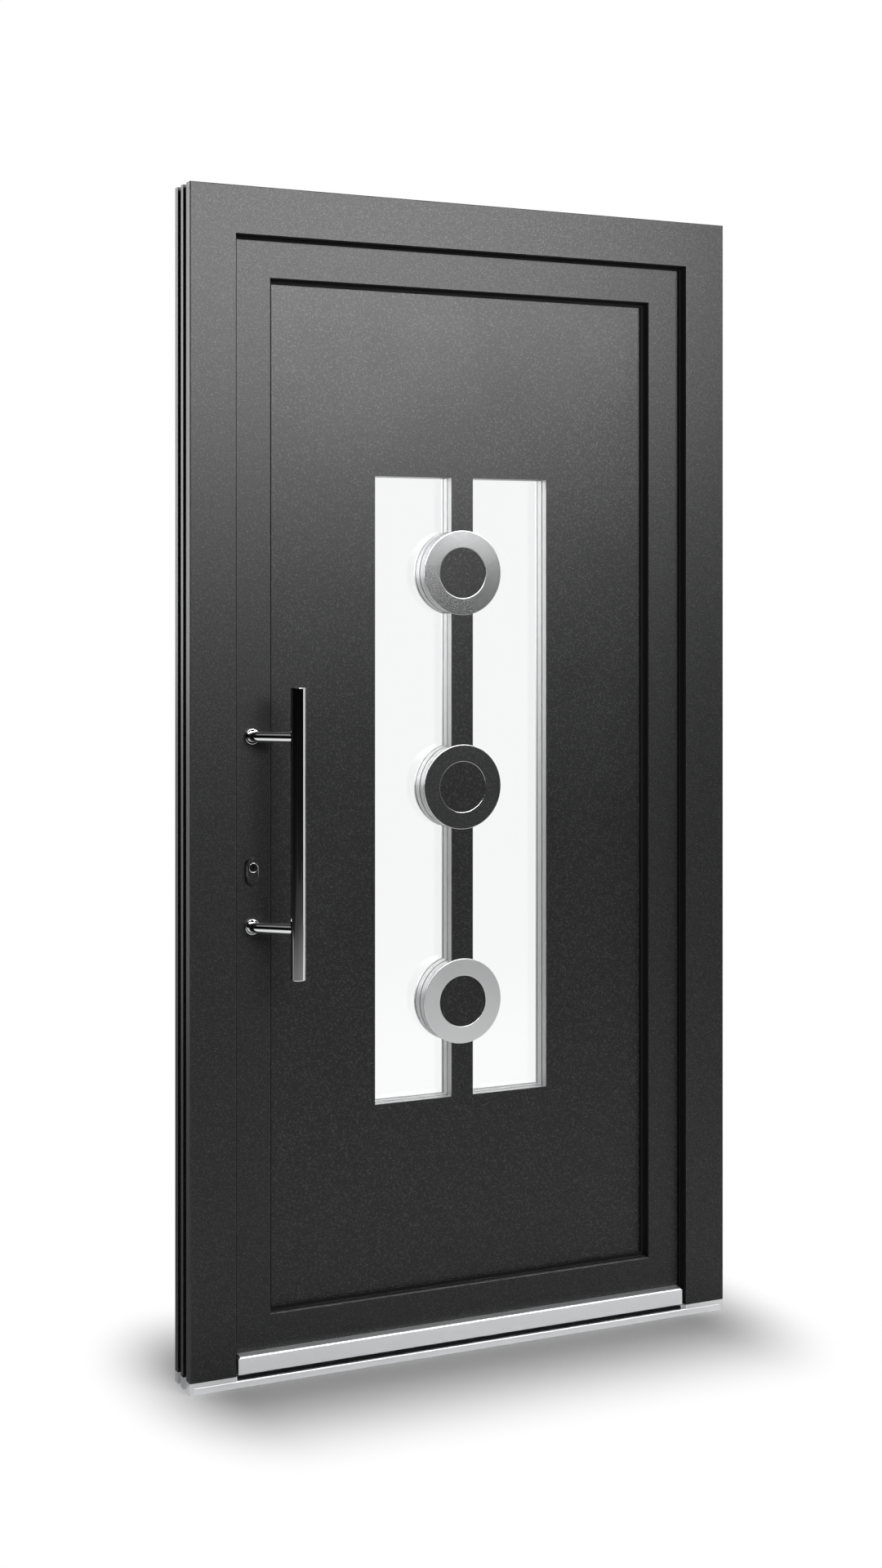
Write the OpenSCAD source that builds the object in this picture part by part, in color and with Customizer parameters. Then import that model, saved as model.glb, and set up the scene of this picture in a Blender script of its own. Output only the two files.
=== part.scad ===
// uPVC entrance door: fixed frame, aluminium threshold and one leaf that opens into the house.
// Axes: +X to the right seen from outside, +Y into the house, +Z up; origin on the threshold's underside.
// Sections are drawn as [u, d]: u inwards from the frame's outer edge, d back from the frame's front face.

/* [Frame] */
// Overall width over the frame
width = 1080; // [900:5:1250]
// Overall height over head and threshold
height = 2090; // [1950:5:2300]
// Depth of the frame section, front to back
frame_depth = 80; // [76:1:90]
// Width of the frame's outer face
frame_face = 85; // [82:1:95]
// Width of the frame section behind its covering lip
frame_web = 63; // [58:1:65]
// Thickness of the lip that covers the leaf's edge
lip_thick = 15.5; // [13:0.5:17]
// Height of the two fixing grooves along the frame's outer side
groove_deep = 6; // [3:0.5:8]
// Where the front fixing groove starts, back from the front face
groove1_start = 20; // [18:0.5:24]
// Width of each fixing groove
groove_wide = 17; // [12:0.5:18]
// Thickness of the rib between the two fixing grooves
groove_rib = 11.5; // [8:0.5:13]
// Bevel on the section's long outer corners
edge_bevel = 1.5; // [0.5:0.1:2]

/* [Threshold] */
// Height of the threshold inside the door opening
threshold_high = 20; // [17:0.5:22]
// Height of the threshold's base and nose
nose_high = 12; // [8:0.5:14]
// Depth of the nose in front of the drip groove
nose_deep = 6.5; // [5:0.5:8]
// Width of the drip groove behind the nose
drip_wide = 3.5; // [2:0.5:4]
// Depth of the drip groove below the nose
drip_deep = 5; // [3:0.5:6]
// Depth of the sloped rise behind the nose
rise_deep = 7; // [4:0.5:9]
// Thickness of the end plates beyond the threshold's base
end_plate = 8; // [5:0.5:12]
// Number of anti-slip grooves along the tread
tread_grooves = 5; // [3:1:6]
// Depth of each anti-slip groove
tread_groove_deep = 1; // [0.6:0.1:1.6]

/* [Leaf] */
// How far the leaf's face lies behind the frame's front face
face_setback = 20; // [19:0.5:24]
// Gap between the frame's web and the leaf's edge
edge_gap = 12; // [10:0.5:13]
// Width of the leaf section, edge to sight line
leaf_section = 81; // [76:1:90]
// Depth of the leaf section, front to back
leaf_depth = 80; // [76:1:88]
// How far the leaf's inner flange reaches over the frame's back
flange_reach = 20; // [16:0.5:22]
// Thickness of the leaf's inner flange
flange_thick = 15; // [11:0.5:15.5]
// Width of the leaf's front lip that holds the panel
panel_lip = 20; // [17:0.5:22]
// Thickness of the leaf's front lip that holds the panel
panel_lip_thick = 16; // [13:0.5:18]
// Gap between the leaf's bottom edge and the threshold
bottom_gap = 14; // [11:0.5:17]
// Width of the hardware groove in the leaf's edge
lock_groove = 16; // [14:0.5:18]
// Depth of the hardware groove in the leaf's edge
lock_groove_deep = 3; // [2.5:0.1:4]

/* [Seals] */
// Running clearance of each seal to the piece it closes on
seal_clear = 0.4; // [0.2:0.1:0.6]
// How far the frame seal stands out past the frame's lip
frame_seal_out = 5.5; // [4:0.5:7]
// Width of each seal's foot in its groove
seal_foot = 3.6; // [3:0.1:4]
// Depth of each seal's groove
seal_foot_deep = 3; // [2:0.1:3.5]
// Thickness of the seal between leaf and panel
glazing_seal_thick = 4; // [3:0.5:5]
// How far the seal shows past the leaf's sight line
glazing_seal_out = 7; // [5:0.5:8]

/* [Panel] */
// Total thickness of the infill panel
panel_thick = 44; // [42:1:48]
// Thickness of the foil-faced outer skin
skin_thick = 2; // [1.5:0.1:3]
// Gap all round between the panel's edge and the leaf's rebate
panel_gap = 4; // [3:0.5:6]
// Thickness of the soft strip under the glazing beads
bead_seal = 3; // [2:0.5:4]
// Height of the glazing beads, rebate to sight line
bead_high = 20; // [17:0.5:22]
// How much the glazing beads slope back towards the room
bead_slope = 6; // [3:0.5:8]
// Width of the raised lip round the windows on the panel's inner face
inner_lip = 10; // [6:0.5:11]
// How far that lip stands out from the panel's inner face
inner_lip_out = 2.5; // [1.5:0.5:4]

/* [Windows] */
// Width of each of the two windows
window_wide = 153.5; // [130:0.5:165]
// Height of both windows
window_high = 1136; // [1000:2:1250]
// Width of the upright bar between the windows
mullion_wide = 43.3; // [36:0.1:60]
// Wall of the silver trim that lines each window
trim_wall = 2; // [1.5:0.1:3]
// Depth of the silver trim behind the outer skin
trim_deep = 15; // [12:0.5:17]
// Thickness of each glass pane
pane_thick = 4; // [3:0.5:5]
// Width of the sealed space between the panes
pane_space = 16; // [12:0.5:16]
// How far the glass reaches behind the window's edge
glass_edge = 8; // [6:0.5:10]

/* [Discs] */
// Radius of the three discs on the upright bar
disc_radius = 78; // [65:0.5:84]
// Radius of the recess in the middle of each disc
disc_recess = 46.5; // [38:0.5:54]
// Distance between the centres of neighbouring discs
disc_pitch = 393.8; // [340:0.5:430]
// How far the discs stand out from the panel's face
disc_proud = 2.5; // [2:0.1:5]
// Thickness of the insert in each disc
insert_thick = 1; // [0.6:0.1:1.4]
// Width of the bright rims round the middle disc's inlay
rim_wide = 1.5; // [1:0.1:3]
// Clearance round the inlay and the inserts
inlay_clear = 0.2; // [0.1:0.05:0.4]
// Bevel on the discs' outer and inner edges
disc_bevel = 0.8; // [0.4:0.1:1.2]

/* [Pull handle] */
// Length of the pull bar
bar_long = 508; // [440:2:620]
// Radius of the pull bar
bar_radius = 13.5; // [11:0.5:16]
// Distance between the two arms
arm_pitch = 333; // [280:1:360]
// Radius of the arms
arm_radius = 9.2; // [7:0.1:10]
// Sideways offset of the bar from the roses
bar_offset = 60; // [50:0.5:80]
// Angle at which the arms bend towards the panel
arm_angle = 48; // [35:1:60]
// Radius of the arms' bend
arm_bend = 18; // [14:0.5:24]
// Straight length of each arm in front of its rose
arm_straight = 2; // [2:0.5:12]
// Radius of the roses
rose_radius = 13.6; // [12:0.1:18]
// Thickness of the roses
rose_thick = 6; // [3:0.5:8]
// Height of the handle's middle above the ground
handle_height = 963.5; // [900:0.5:1050]
// Distance of handle and lock from the leaf's edge
backset = 45; // [40:0.5:50]

/* [Lock] */
// Height of the cylinder above the ground
cylinder_height = 901; // [860:1:930]
// Radius of the lock cylinder's round part
cylinder_radius = 8.5; // [8:0.1:9]
// Radius of the turning plug
plug_radius = 6.5; // [5.5:0.1:7]
// Length of the turning plug
plug_long = 32; // [24:1:36]
// Running clearance between plug and cylinder
plug_clear = 0.15; // [0.1:0.01:0.25]
// Width of the cylinder's lower part
tail_wide = 10; // [9:0.1:11]
// Height of the cylinder from its top to the foot of its lower part
cylinder_tall = 33; // [31:0.5:34]
// Clearance of the cylinder in the leaf and its plates
cylinder_clear = 0.2; // [0.1:0.05:0.4]
// Bevel round the cylinder's outer end
cylinder_bevel = 0.8; // [0.3:0.1:1]
// How far the cylinder stands in front of the leaf's outer face
cylinder_front = 9.5; // [7:0.5:12]
// How far the cylinder stands out from the leaf's inner face
cylinder_rear = 12; // [8:0.5:14]
// Width of the keyway
key_wide = 2.4; // [1.8:0.1:3]
// Height of the keyway
key_tall = 8.5; // [6:0.5:9.5]
// Width of the oval escutcheon
escutcheon_wide = 23; // [22:0.5:30]
// Height of the oval escutcheon
escutcheon_tall = 47; // [44:0.5:60]
// Thickness of the oval escutcheon
escutcheon_thick = 7; // [6:0.5:9]
// Height of the cylinder above the escutcheon's middle
escutcheon_drop = 6.5; // [4:0.5:10]
// Distance of the lock faceplate's ends from the leaf's corners
faceplate_end = 120.5; // [95:0.5:190]
// Depth of the bolt windows sunk in the faceplate
bolt_window = 1.4; // [0.8:0.1:1.6]
// Distance of the two hook bolts from the faceplate's ends
hook_end = 250; // [200:5:300]
// Thickness of the faceplate
faceplate_thick = 2.8; // [2:0.1:2.8]
// Distance of the dead bolt's window below the cylinder
bolt_below = 42; // [36:1:50]
// Height of the latch
latch_tall = 32; // [26:1:36]
// Half the width of the latch
latch_half = 6; // [5:0.5:6.5]
// How far the latch stands out of the faceplate
latch_out = 2; // [1:0.5:3]
// Thickness of the strike plate on the frame
strike_thick = 3; // [2:0.5:4]
// Width of the strike plate
strike_wide = 24; // [20:1:30]
// Height of the strike plate
strike_tall = 230; // [220:5:260]

/* [Inner handle] */
// Height of the inner lever above the cylinder
lever_above = 92; // [85:1:95]
// Width of the inner backplate
backplate_wide = 32; // [28:1:38]
// Height of the inner backplate
backplate_tall = 235; // [215:5:260]
// Thickness of the inner backplate
backplate_thick = 10; // [7:0.5:12]
// Length of the inner lever
lever_long = 120; // [100:2:135]
// Radius of the inner lever
lever_radius = 9; // [7:0.5:11]
// Distance of the inner lever's middle from the leaf
lever_out = 48; // [40:1:60]
// How far the lever's end turns back towards the leaf
lever_return = 20; // [8:1:22]
// Radius of the collar at the lever's root
collar_radius = 13; // [12:0.5:15]

/* [Hinges] */
// Height of the lowest hinge
hinge_low = 260; // [200:5:350]
// Height of the middle hinge
hinge_mid = 1040; // [900:5:1150]
// Distance of the highest hinge below the frame's top
hinge_top = 270; // [220:5:350]
// Distance of the hinge pins from the frame's outer edge
pin_edge = 35; // [31:0.5:38]
// Distance of the hinge pins behind the frame's back
pin_back = 28; // [27:0.5:32]
// Radius of the hinge knuckles
knuckle_radius = 9; // [8:0.5:10]
// Radius of the hinge pins
pin_radius = 4; // [3:0.5:5]
// Clearance between hinge pin and bore
pin_clear = 0.2; // [0.1:0.05:0.3]
// Gap between the two knuckles of a hinge
knuckle_gap = 0.4; // [0.3:0.1:1]
// Height of each half of a hinge
knuckle_tall = 50; // [40:2:60]
// Thickness of the hinge plates
hinge_plate = 4; // [3:0.5:5]
// How far the hinge plates reach over the leaf
hinge_reach = 40; // [30:1:50]
// Bevel on the corners of the hinge plates
plate_corner = 4; // [2:0.5:6]
// Bevel on the outer ends of the hinge knuckles
knuckle_bevel = 2; // [0.5:0.5:3]

/* [Weather bar] */
// Height of the weather bar's foot above the ground
weather_low = 21; // [18:0.5:24]
// Height of the weather bar
weather_tall = 32.5; // [28:0.5:38]
// Depth of the weather bar in front of the leaf
weather_deep = 16; // [13:0.5:17]
// Wall of the weather bar
weather_wall = 2; // [1.6:0.1:3]
// Gap between the weather bar's ends and the frame
weather_gap = 5; // [5:0.5:8]

/* [Hidden] */
$fn = 64;
e = 1;                                        // how far cutters run past what they cut
hw = width / 2;
y_front = -frame_depth / 2;                   // frame's front face
y_back = frame_depth / 2;                     // frame's back face
leaf_u = frame_web + edge_gap;                // leaf's edge, from the frame's outer edge
sight_u = leaf_u + leaf_section;              // leaf's sight line
rebate_u = sight_u - panel_lip;               // wall of the panel rebate
flange_u = leaf_u - flange_reach;             // edge of the inner flange
leaf_back = face_setback + leaf_depth;        // leaf's inner face
flange_front = leaf_back - flange_thick;      // front of the inner flange
lip_back = face_setback + panel_lip_thick;    // back of the panel lip
panel_front = lip_back + glazing_seal_thick;  // panel's outer face
panel_back = panel_front + panel_thick;       // panel's inner face
leaf_bottom = threshold_high + bottom_gap;
z_foot = leaf_bottom - leaf_u;                // the height that stands for u = 0 at the leaf's foot
panel_u = rebate_u + panel_gap;
panel_mid = (height + z_foot) / 2;            // middle of panel, windows and discs
faceplate_long = height - leaf_u - leaf_bottom - 2 * faceplate_end;
groove_mid = face_setback + leaf_depth / 2 - 5; // line of the hardware groove
lock_x = -hw + leaf_u + backset;
pane1 = panel_front + skin_thick + trim_deep; // front of the outer pane
pane2 = pane1 + pane_thick + pane_space;      // front of the inner pane
unit_back = pane2 + pane_thick;
pin_x = hw - pin_edge;
pin_y = y_back + pin_back;
y_leaf = y_front + face_setback;              // leaf's outer face
y_inside = y_front + leaf_back;               // leaf's inner face
bar_x = lock_x + bar_offset;
arm_run = (bar_offset - arm_bend * (1 - cos(arm_angle))) / sin(arm_angle);
bar_y = y_leaf - rose_thick - arm_straight - arm_bend * sin(arm_angle) - arm_run * cos(arm_angle);
mitre = max(frame_face, sight_u) + 20;        // size of the mitre cutters
foil = [0.25, 0.26, 0.27];
silver = [0.75, 0.76, 0.77];
black = [0.05, 0.05, 0.06];

function mx(p) = [for (q = p) [-q[0], q[1]]];

// Frame section with its lip, fixing grooves, seal groove and web
function frame_section() = [
    [edge_bevel, 0], [frame_face - edge_bevel, 0], [frame_face, edge_bevel], [frame_face, lip_thick],
    [(frame_web + frame_face + seal_foot) / 2, lip_thick],
    [(frame_web + frame_face + seal_foot) / 2, lip_thick - seal_foot_deep],
    [(frame_web + frame_face - seal_foot) / 2, lip_thick - seal_foot_deep],
    [(frame_web + frame_face - seal_foot) / 2, lip_thick],
    [frame_web, lip_thick], [frame_web, frame_depth], [0, frame_depth],
    [0, groove1_start + 2 * groove_wide + groove_rib],
    [groove_deep, groove1_start + 2 * groove_wide + groove_rib],
    [groove_deep, groove1_start + groove_wide + groove_rib],
    [0, groove1_start + groove_wide + groove_rib], [0, groove1_start + groove_wide],
    [groove_deep, groove1_start + groove_wide], [groove_deep, groove1_start],
    [0, groove1_start], [0, edge_bevel]];

// Leaf section; flange is 1 for the three sides that close on the frame and 0 at the foot
function leaf_section_points(flange) = concat(
    [[leaf_u, face_setback], [sight_u - edge_bevel, face_setback],
     [sight_u, face_setback + edge_bevel], [sight_u, lip_back],
     [sight_u - panel_lip / 2 + seal_foot / 2, lip_back],
     [sight_u - panel_lip / 2 + seal_foot / 2, lip_back - seal_foot_deep],
     [sight_u - panel_lip / 2 - seal_foot / 2, lip_back - seal_foot_deep],
     [sight_u - panel_lip / 2 - seal_foot / 2, lip_back],
     [rebate_u, lip_back], [rebate_u, leaf_back]],
    flange == 0 ? [[leaf_u, leaf_back]] :
    [[flange_u + edge_bevel, leaf_back], [flange_u, leaf_back - edge_bevel], [flange_u, flange_front],
     [seal_mid() - seal_foot / 2, flange_front], [seal_mid() - seal_foot / 2, flange_front + seal_foot_deep],
     [seal_mid() + seal_foot / 2, flange_front + seal_foot_deep], [seal_mid() + seal_foot / 2, flange_front],
     [leaf_u, flange_front]],
    [[leaf_u, groove_mid + lock_groove / 2], [leaf_u + lock_groove_deep, groove_mid + lock_groove / 2],
     [leaf_u + lock_groove_deep, groove_mid - lock_groove / 2], [leaf_u, groove_mid - lock_groove / 2]]);
function seal_mid() = (flange_u + frame_web) / 2;

// Extrusions of a section: upright on one side (-1 left, 1 right), along the top, along the foot
module upright(points, side, z0, z1) {
    translate([side * hw, y_front, z0]) linear_extrude(z1 - z0) polygon(side < 0 ? points : mx(points));
}
module along_top(points, half) {
    translate([-half, y_front, height]) rotate([0, 90, 0]) linear_extrude(2 * half) polygon(points);
}
module along_foot(points, half, z) {
    translate([half, y_front, z]) rotate([0, -90, 0]) linear_extrude(2 * half) polygon(points);
}
// Wedge that takes a mitre off the end of an upright (or of a rail, with rail = 1)
module mitre_cut(side, z, up, rail) {
    s = -side;
    translate([side * hw, y_front + leaf_back + 50, z]) rotate([90, 0, 0]) linear_extrude(leaf_back + 100)
        polygon(rail == 1 ? [[-s, up], [-s, -up * mitre], [mitre * s, -up * mitre]]
                          : [[-s, up], [mitre * s, -up * mitre], [mitre * s, up]]);
}
// Closed band round the leaf: u0 to u1 wide, d0 to d1 deep
module band(u0, u1, d0, d1, foot) {
    difference() {
        translate([-hw + u0, y_front + d0, foot + u0]) cube([width - 2 * u0, d1 - d0, height - foot - 2 * u0]);
        translate([-hw + u1, y_front + d0 - e, foot + u1])
            cube([width - 2 * u1, d1 - d0 + 2 * e, height - foot - 2 * u1]);
    }
}
// The same band without its foot, standing on height z
module arch(u0, u1, d0, d1, z) {
    difference() {
        translate([-hw + u0, y_front + d0, z]) cube([width - 2 * u0, d1 - d0, height - z - u0]);
        translate([-hw + u1, y_front + d0 - e, z - e])
            cube([width - 2 * u1, d1 - d0 + 2 * e, height - z - u1 + e]);
    }
}
// Round piece with its axis along Y, from depth d0 to d1
module round_y(x, z, r, d0, d1) {
    translate([x, y_front + d1, z]) rotate([90, 0, 0]) cylinder(r = r, h = d1 - d0);
}

module frame_upright(side) {
    difference() {
        upright(frame_section(), side, threshold_high, height);
        mitre_cut(side, height, 1, 0);
    }
}
module left_jamb() { color(foil) frame_upright(-1); }
module right_jamb() { color(foil) frame_upright(1); }
module head() {
    color(foil) difference() {
        along_top(frame_section(), hw);
        mitre_cut(-1, height, 1, 1);
        mitre_cut(1, height, 1, 1);
    }
}

module threshold() {
    rise0 = nose_deep + drip_wide;
    tread0 = rise0 + rise_deep + 8;
    tread1 = frame_depth - 8;
    step = (tread1 - tread0) / tread_grooves;
    color(silver) difference() {
        union() {
            along_foot([[0, 0], [0, frame_depth], [nose_high, frame_depth], [nose_high, edge_bevel],
                [nose_high - edge_bevel, 0]], hw - end_plate, 0);
            along_foot([[nose_high - e, rise0], [nose_high, rise0], [threshold_high - 3, rise0 + 1.5],
                [threshold_high, rise0 + rise_deep], [threshold_high, frame_depth],
                [nose_high - e, frame_depth]], hw - frame_face, 0);
        }
        translate([-hw + frame_face, y_front + nose_deep, nose_high - drip_deep])
            cube([width - 2 * frame_face, drip_wide, drip_deep + e]);
        for (i = [0 : tread_grooves - 1])
            translate([-hw, y_front + tread0 + (i + 0.3) * step, threshold_high - tread_groove_deep])
                cube([width, step * 0.35, tread_groove_deep + e]);
    }
}
module threshold_end(side) {
    union() {
        upright(frame_section(), side, nose_high, threshold_high);
        intersection() {
            upright(frame_section(), side, 0, nose_high + e / 2);
            translate([side < 0 ? -hw - e : hw - end_plate, y_front - e, -e])
                cube([end_plate + e, frame_depth + 2 * e, nose_high + 2 * e]);
        }
    }
}
module threshold_end_left() { color(silver) threshold_end(-1); }
module threshold_end_right() { color(silver) threshold_end(1); }

module frame_seal() {
    mid = (frame_web + frame_face) / 2;
    color(black) union() {
        arch(mid - seal_foot / 2, mid + seal_foot / 2, lip_thick - seal_foot_deep, lip_thick + e / 2,
            threshold_high);
        arch(mid - seal_foot / 2 - 1, frame_face + frame_seal_out, lip_thick, face_setback - seal_clear,
            threshold_high);
    }
}

module strike_plate() {
    x = -hw + frame_web;
    y = y_front + groove_mid;
    hole_half = latch_half + 1;
    hole_tall = latch_tall + 4;
    color(silver) difference() {
        translate([x, y - strike_wide / 2, cylinder_height + lever_above / 2 - strike_tall / 2])
            cube([strike_thick, strike_wide, strike_tall]);
        for (z = [cylinder_height + lever_above, cylinder_height - bolt_below])
            translate([x - e, y - hole_half, z - hole_tall / 2])
                cube([strike_thick + 2 * e, 2 * hole_half, hole_tall]);
    }
}

// Plate with bevelled corners, from depth d0 to d1
module corner_plate(x, z, w, h, d0, d1) {
    c = plate_corner;
    translate([x, y_front + d1, z]) rotate([90, 0, 0]) linear_extrude(d1 - d0)
        polygon([[c, 0], [w - c, 0], [w, c], [w, h - c], [w - c, h], [c, h], [0, h - c], [0, c]]);
}
// Knuckle with its outer end bevelled: up = 1 bevels the top, -1 the foot
module knuckle(z, up) {
    b = knuckle_bevel;
    r = knuckle_radius;
    h = knuckle_tall - knuckle_gap / 2;
    translate([pin_x, pin_y, z]) rotate_extrude()
        polygon(up > 0 ? [[0, 0], [r, 0], [r, h - b], [r - b, h], [0, h]]
            : [[0, 0], [r - b, 0], [r, b], [r, h], [0, h]]);
}
module frame_hinge(z) {
    color(silver) union() {
        corner_plate(pin_x - knuckle_radius - 2, z - knuckle_tall - 8, 2 * knuckle_radius + 16,
            knuckle_tall + 8 - knuckle_gap / 2, frame_depth, frame_depth + hinge_plate);
        translate([pin_x - knuckle_radius * 0.7, y_back + hinge_plate - e / 2, z - knuckle_tall])
            cube([knuckle_radius * 1.4, pin_back - hinge_plate + e / 2, knuckle_tall - knuckle_gap / 2]);
        knuckle(z - knuckle_tall, -1);
        translate([pin_x, pin_y, z - knuckle_tall / 2]) cylinder(r = pin_radius, h = knuckle_tall * 1.4);
    }
}
module frame_hinge_lower() { frame_hinge(hinge_low); }
module frame_hinge_middle() { frame_hinge(hinge_mid); }
module frame_hinge_upper() { frame_hinge(height - hinge_top); }

module leaf_hinge(z) {
    color(silver) difference() {
        union() {
            corner_plate(hw - leaf_u - hinge_reach, z - knuckle_tall, hinge_reach + 10, 2 * knuckle_tall,
                leaf_back, leaf_back + hinge_plate);
            translate([hw - leaf_u, y_inside, z + knuckle_gap / 2])
                cube([pin_x - hw + leaf_u, hinge_plate + 5, knuckle_tall - knuckle_gap / 2]);
            knuckle(z + knuckle_gap / 2, 1);
        }
        translate([pin_x, pin_y, z - e])
            cylinder(r = pin_radius + pin_clear, h = knuckle_tall * 0.9 + 1.5 * e);
    }
}
module leaf_hinge_lower() { leaf_hinge(hinge_low); }
module leaf_hinge_middle() { leaf_hinge(hinge_mid); }
module leaf_hinge_upper() { leaf_hinge(height - hinge_top); }

// Outline of the lock cylinder, grown by g, from depth d0 to d1
module cylinder_form(g, d0, d1) {
    round_y(lock_x, cylinder_height, cylinder_radius + g, d0, d1);
    tail = cylinder_tall - cylinder_radius;
    translate([lock_x - tail_wide / 2 - g, y_front + d0, cylinder_height - tail - g])
        cube([tail_wide + 2 * g, d1 - d0, tail + g]);
}
module leaf_upright(side) {
    difference() {
        upright(leaf_section_points(1), side, leaf_bottom, height);
        mitre_cut(side, height, 1, 0);
        mitre_cut(side, z_foot, -1, 0);
    }
}
module left_stile() {
    color(foil) difference() {
        leaf_upright(-1);
        cylinder_form(cylinder_clear, face_setback - e, leaf_back + e);
    }
}
module right_stile() { color(foil) leaf_upright(1); }
module top_rail() {
    color(foil) difference() {
        along_top(leaf_section_points(1), hw);
        mitre_cut(-1, height, 1, 1);
        mitre_cut(1, height, 1, 1);
    }
}
module bottom_rail() {
    color(foil) difference() {
        along_foot(leaf_section_points(0), hw, z_foot);
        mitre_cut(-1, z_foot, -1, 1);
        mitre_cut(1, z_foot, -1, 1);
    }
}

module leaf_seal() {
    m = seal_mid();
    color(black) union() {
        arch(m - seal_foot / 2, m + seal_foot / 2, flange_front - e / 2, flange_front + seal_foot_deep,
            leaf_bottom);
        arch(flange_u + 1, frame_web - 1, frame_depth + seal_clear, flange_front, leaf_bottom);
    }
}
module bottom_seal() {
    half = hw - frame_face - frame_seal_out - 3;
    deep = lock_groove - 2 * seal_clear;
    wall = 4;
    color(black) translate([-half, y_front + groove_mid - deep / 2, threshold_high + seal_clear]) difference() {
        cube([2 * half, deep, bottom_gap + lock_groove_deep - seal_clear]);
        translate([-e, wall, -e]) cube([2 * half + 2 * e, deep - 2 * wall, bottom_gap - 3 + e]);
    }
}
module glazing_seal() {
    m = sight_u - panel_lip / 2;
    color(black) union() {
        band(m - seal_foot / 2, m + seal_foot / 2, lip_back - seal_foot_deep, lip_back + e / 2, z_foot);
        band(m - seal_foot / 2 - 1, sight_u + glazing_seal_out, lip_back, panel_front, z_foot);
    }
}
module glazing_beads() {
    u1 = rebate_u + bead_high;
    color(foil) difference() {
        translate([-hw + rebate_u, y_front + panel_back, z_foot + rebate_u])
            cube([width - 2 * rebate_u, leaf_back - panel_back, height - z_foot - 2 * rebate_u]);
        hull() for (s = [[u1, panel_back + bead_seal], [u1 - bead_slope, leaf_back]])
            translate([-hw + s[0], y_front + s[1], z_foot + s[0]])
                cube([width - 2 * s[0], e, height - z_foot - 2 * s[0]]);
        translate([-hw + u1, y_front + panel_back - e, z_foot + u1])
            cube([width - 2 * u1, bead_seal + 2 * e, height - z_foot - 2 * u1]);
    }
}

// Clear form of one window, grown by g, from depth d0 to d1; the discs bite into its inner side
module window_form(side, g, d0, d1) {
    difference() {
        translate([side < 0 ? -mullion_wide / 2 - window_wide - g : mullion_wide / 2 - g, y_front + d0,
            panel_mid - window_high / 2 - g]) cube([window_wide + 2 * g, d1 - d0, window_high + 2 * g]);
        for (i = [-1 : 1]) round_y(0, panel_mid + i * disc_pitch, disc_radius - g, d0 - e, d1 + e);
    }
}
module windows(g, d0, d1) {
    window_form(-1, g, d0, d1);
    window_form(1, g, d0, d1);
}
module panel_block(d0, d1) {
    translate([-hw + panel_u, y_front + d0, z_foot + panel_u])
        cube([width - 2 * panel_u, d1 - d0, height - z_foot - 2 * panel_u]);
}
// The sealed unit's outline, grown by g
module unit_block(g, d0, d1) {
    w = mullion_wide + 2 * (window_wide + glass_edge + g);
    h = window_high + 2 * (glass_edge + g);
    translate([-w / 2, y_front + d0, panel_mid - h / 2]) cube([w, d1 - d0, h]);
}
module panel_skin() {
    color(foil) difference() {
        panel_block(panel_front, panel_front + skin_thick);
        windows(0, panel_front - e, panel_front + skin_thick + e);
    }
}
module panel_body() {
    color(foil) difference() {
        union() {
            panel_block(panel_front + skin_thick, panel_back);
            windows(inner_lip, panel_back - e, panel_back + inner_lip_out);
        }
        windows(trim_wall, panel_front, pane1 + e);
        unit_block(0, pane1, unit_back);
        windows(0, pane2, panel_back + inner_lip_out + e);
    }
}
module window_trim(side) {
    difference() {
        window_form(side, trim_wall, panel_front + skin_thick, pane1);
        window_form(side, 0, panel_front + skin_thick - e, pane1 + e);
    }
}
module left_window_trim() { color(silver) window_trim(-1); }
module right_window_trim() { color(silver) window_trim(1); }
module glass_outer_pane() { color([0.8, 0.88, 0.9, 0.4]) unit_block(0, pane1, pane1 + pane_thick); }
module glass_inner_pane() { color([0.8, 0.88, 0.9, 0.4]) unit_block(0, pane2, unit_back); }
module glass_spacer() {
    color(silver) difference() {
        unit_block(0, pane1 + pane_thick, pane2);
        windows(0, pane1, pane2 + e);
    }
}

// Disc pieces are turned about Y; r and t give the profile, t forward from the panel's face
module turned(z, points) {
    translate([0, y_front + panel_front, z]) rotate([90, 0, 0]) rotate_extrude($fn = 96) polygon(points);
}
module disc_ring(i) {
    turned(panel_mid + i * disc_pitch, [[disc_recess, 0], [disc_radius, 0],
        [disc_radius, disc_proud - disc_bevel], [disc_radius - disc_bevel, disc_proud],
        [disc_recess + disc_bevel, disc_proud], [disc_recess, disc_proud - disc_bevel]]);
}
module disc_insert(i) {
    round_y(0, panel_mid + i * disc_pitch, disc_recess - inlay_clear, panel_front - insert_thick,
        panel_front);
}
module disc_top_ring() { color(silver) disc_ring(1); }
module disc_top_insert() { color(black) disc_insert(1); }
module disc_bottom_ring() { color(silver) disc_ring(-1); }
module disc_bottom_insert() { color(black) disc_insert(-1); }
module disc_middle_ring() {
    color(silver) turned(panel_mid, [[disc_recess, 0], [disc_radius, 0],
        [disc_radius, disc_proud - disc_bevel], [disc_radius - disc_bevel, disc_proud],
        [disc_radius - rim_wide, disc_proud],
        [disc_radius - rim_wide, insert_thick], [disc_recess + rim_wide, insert_thick],
        [disc_recess + rim_wide, disc_proud], [disc_recess, disc_proud]]);
}
module disc_middle_inlay() {
    color(black) turned(panel_mid, [[disc_recess + rim_wide + inlay_clear, insert_thick],
        [disc_radius - rim_wide - inlay_clear, insert_thick],
        [disc_radius - rim_wide - inlay_clear, disc_proud - inlay_clear],
        [disc_recess + rim_wide + inlay_clear, disc_proud - inlay_clear]]);
}
module disc_middle_insert() { color(black) disc_insert(0); }

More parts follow.
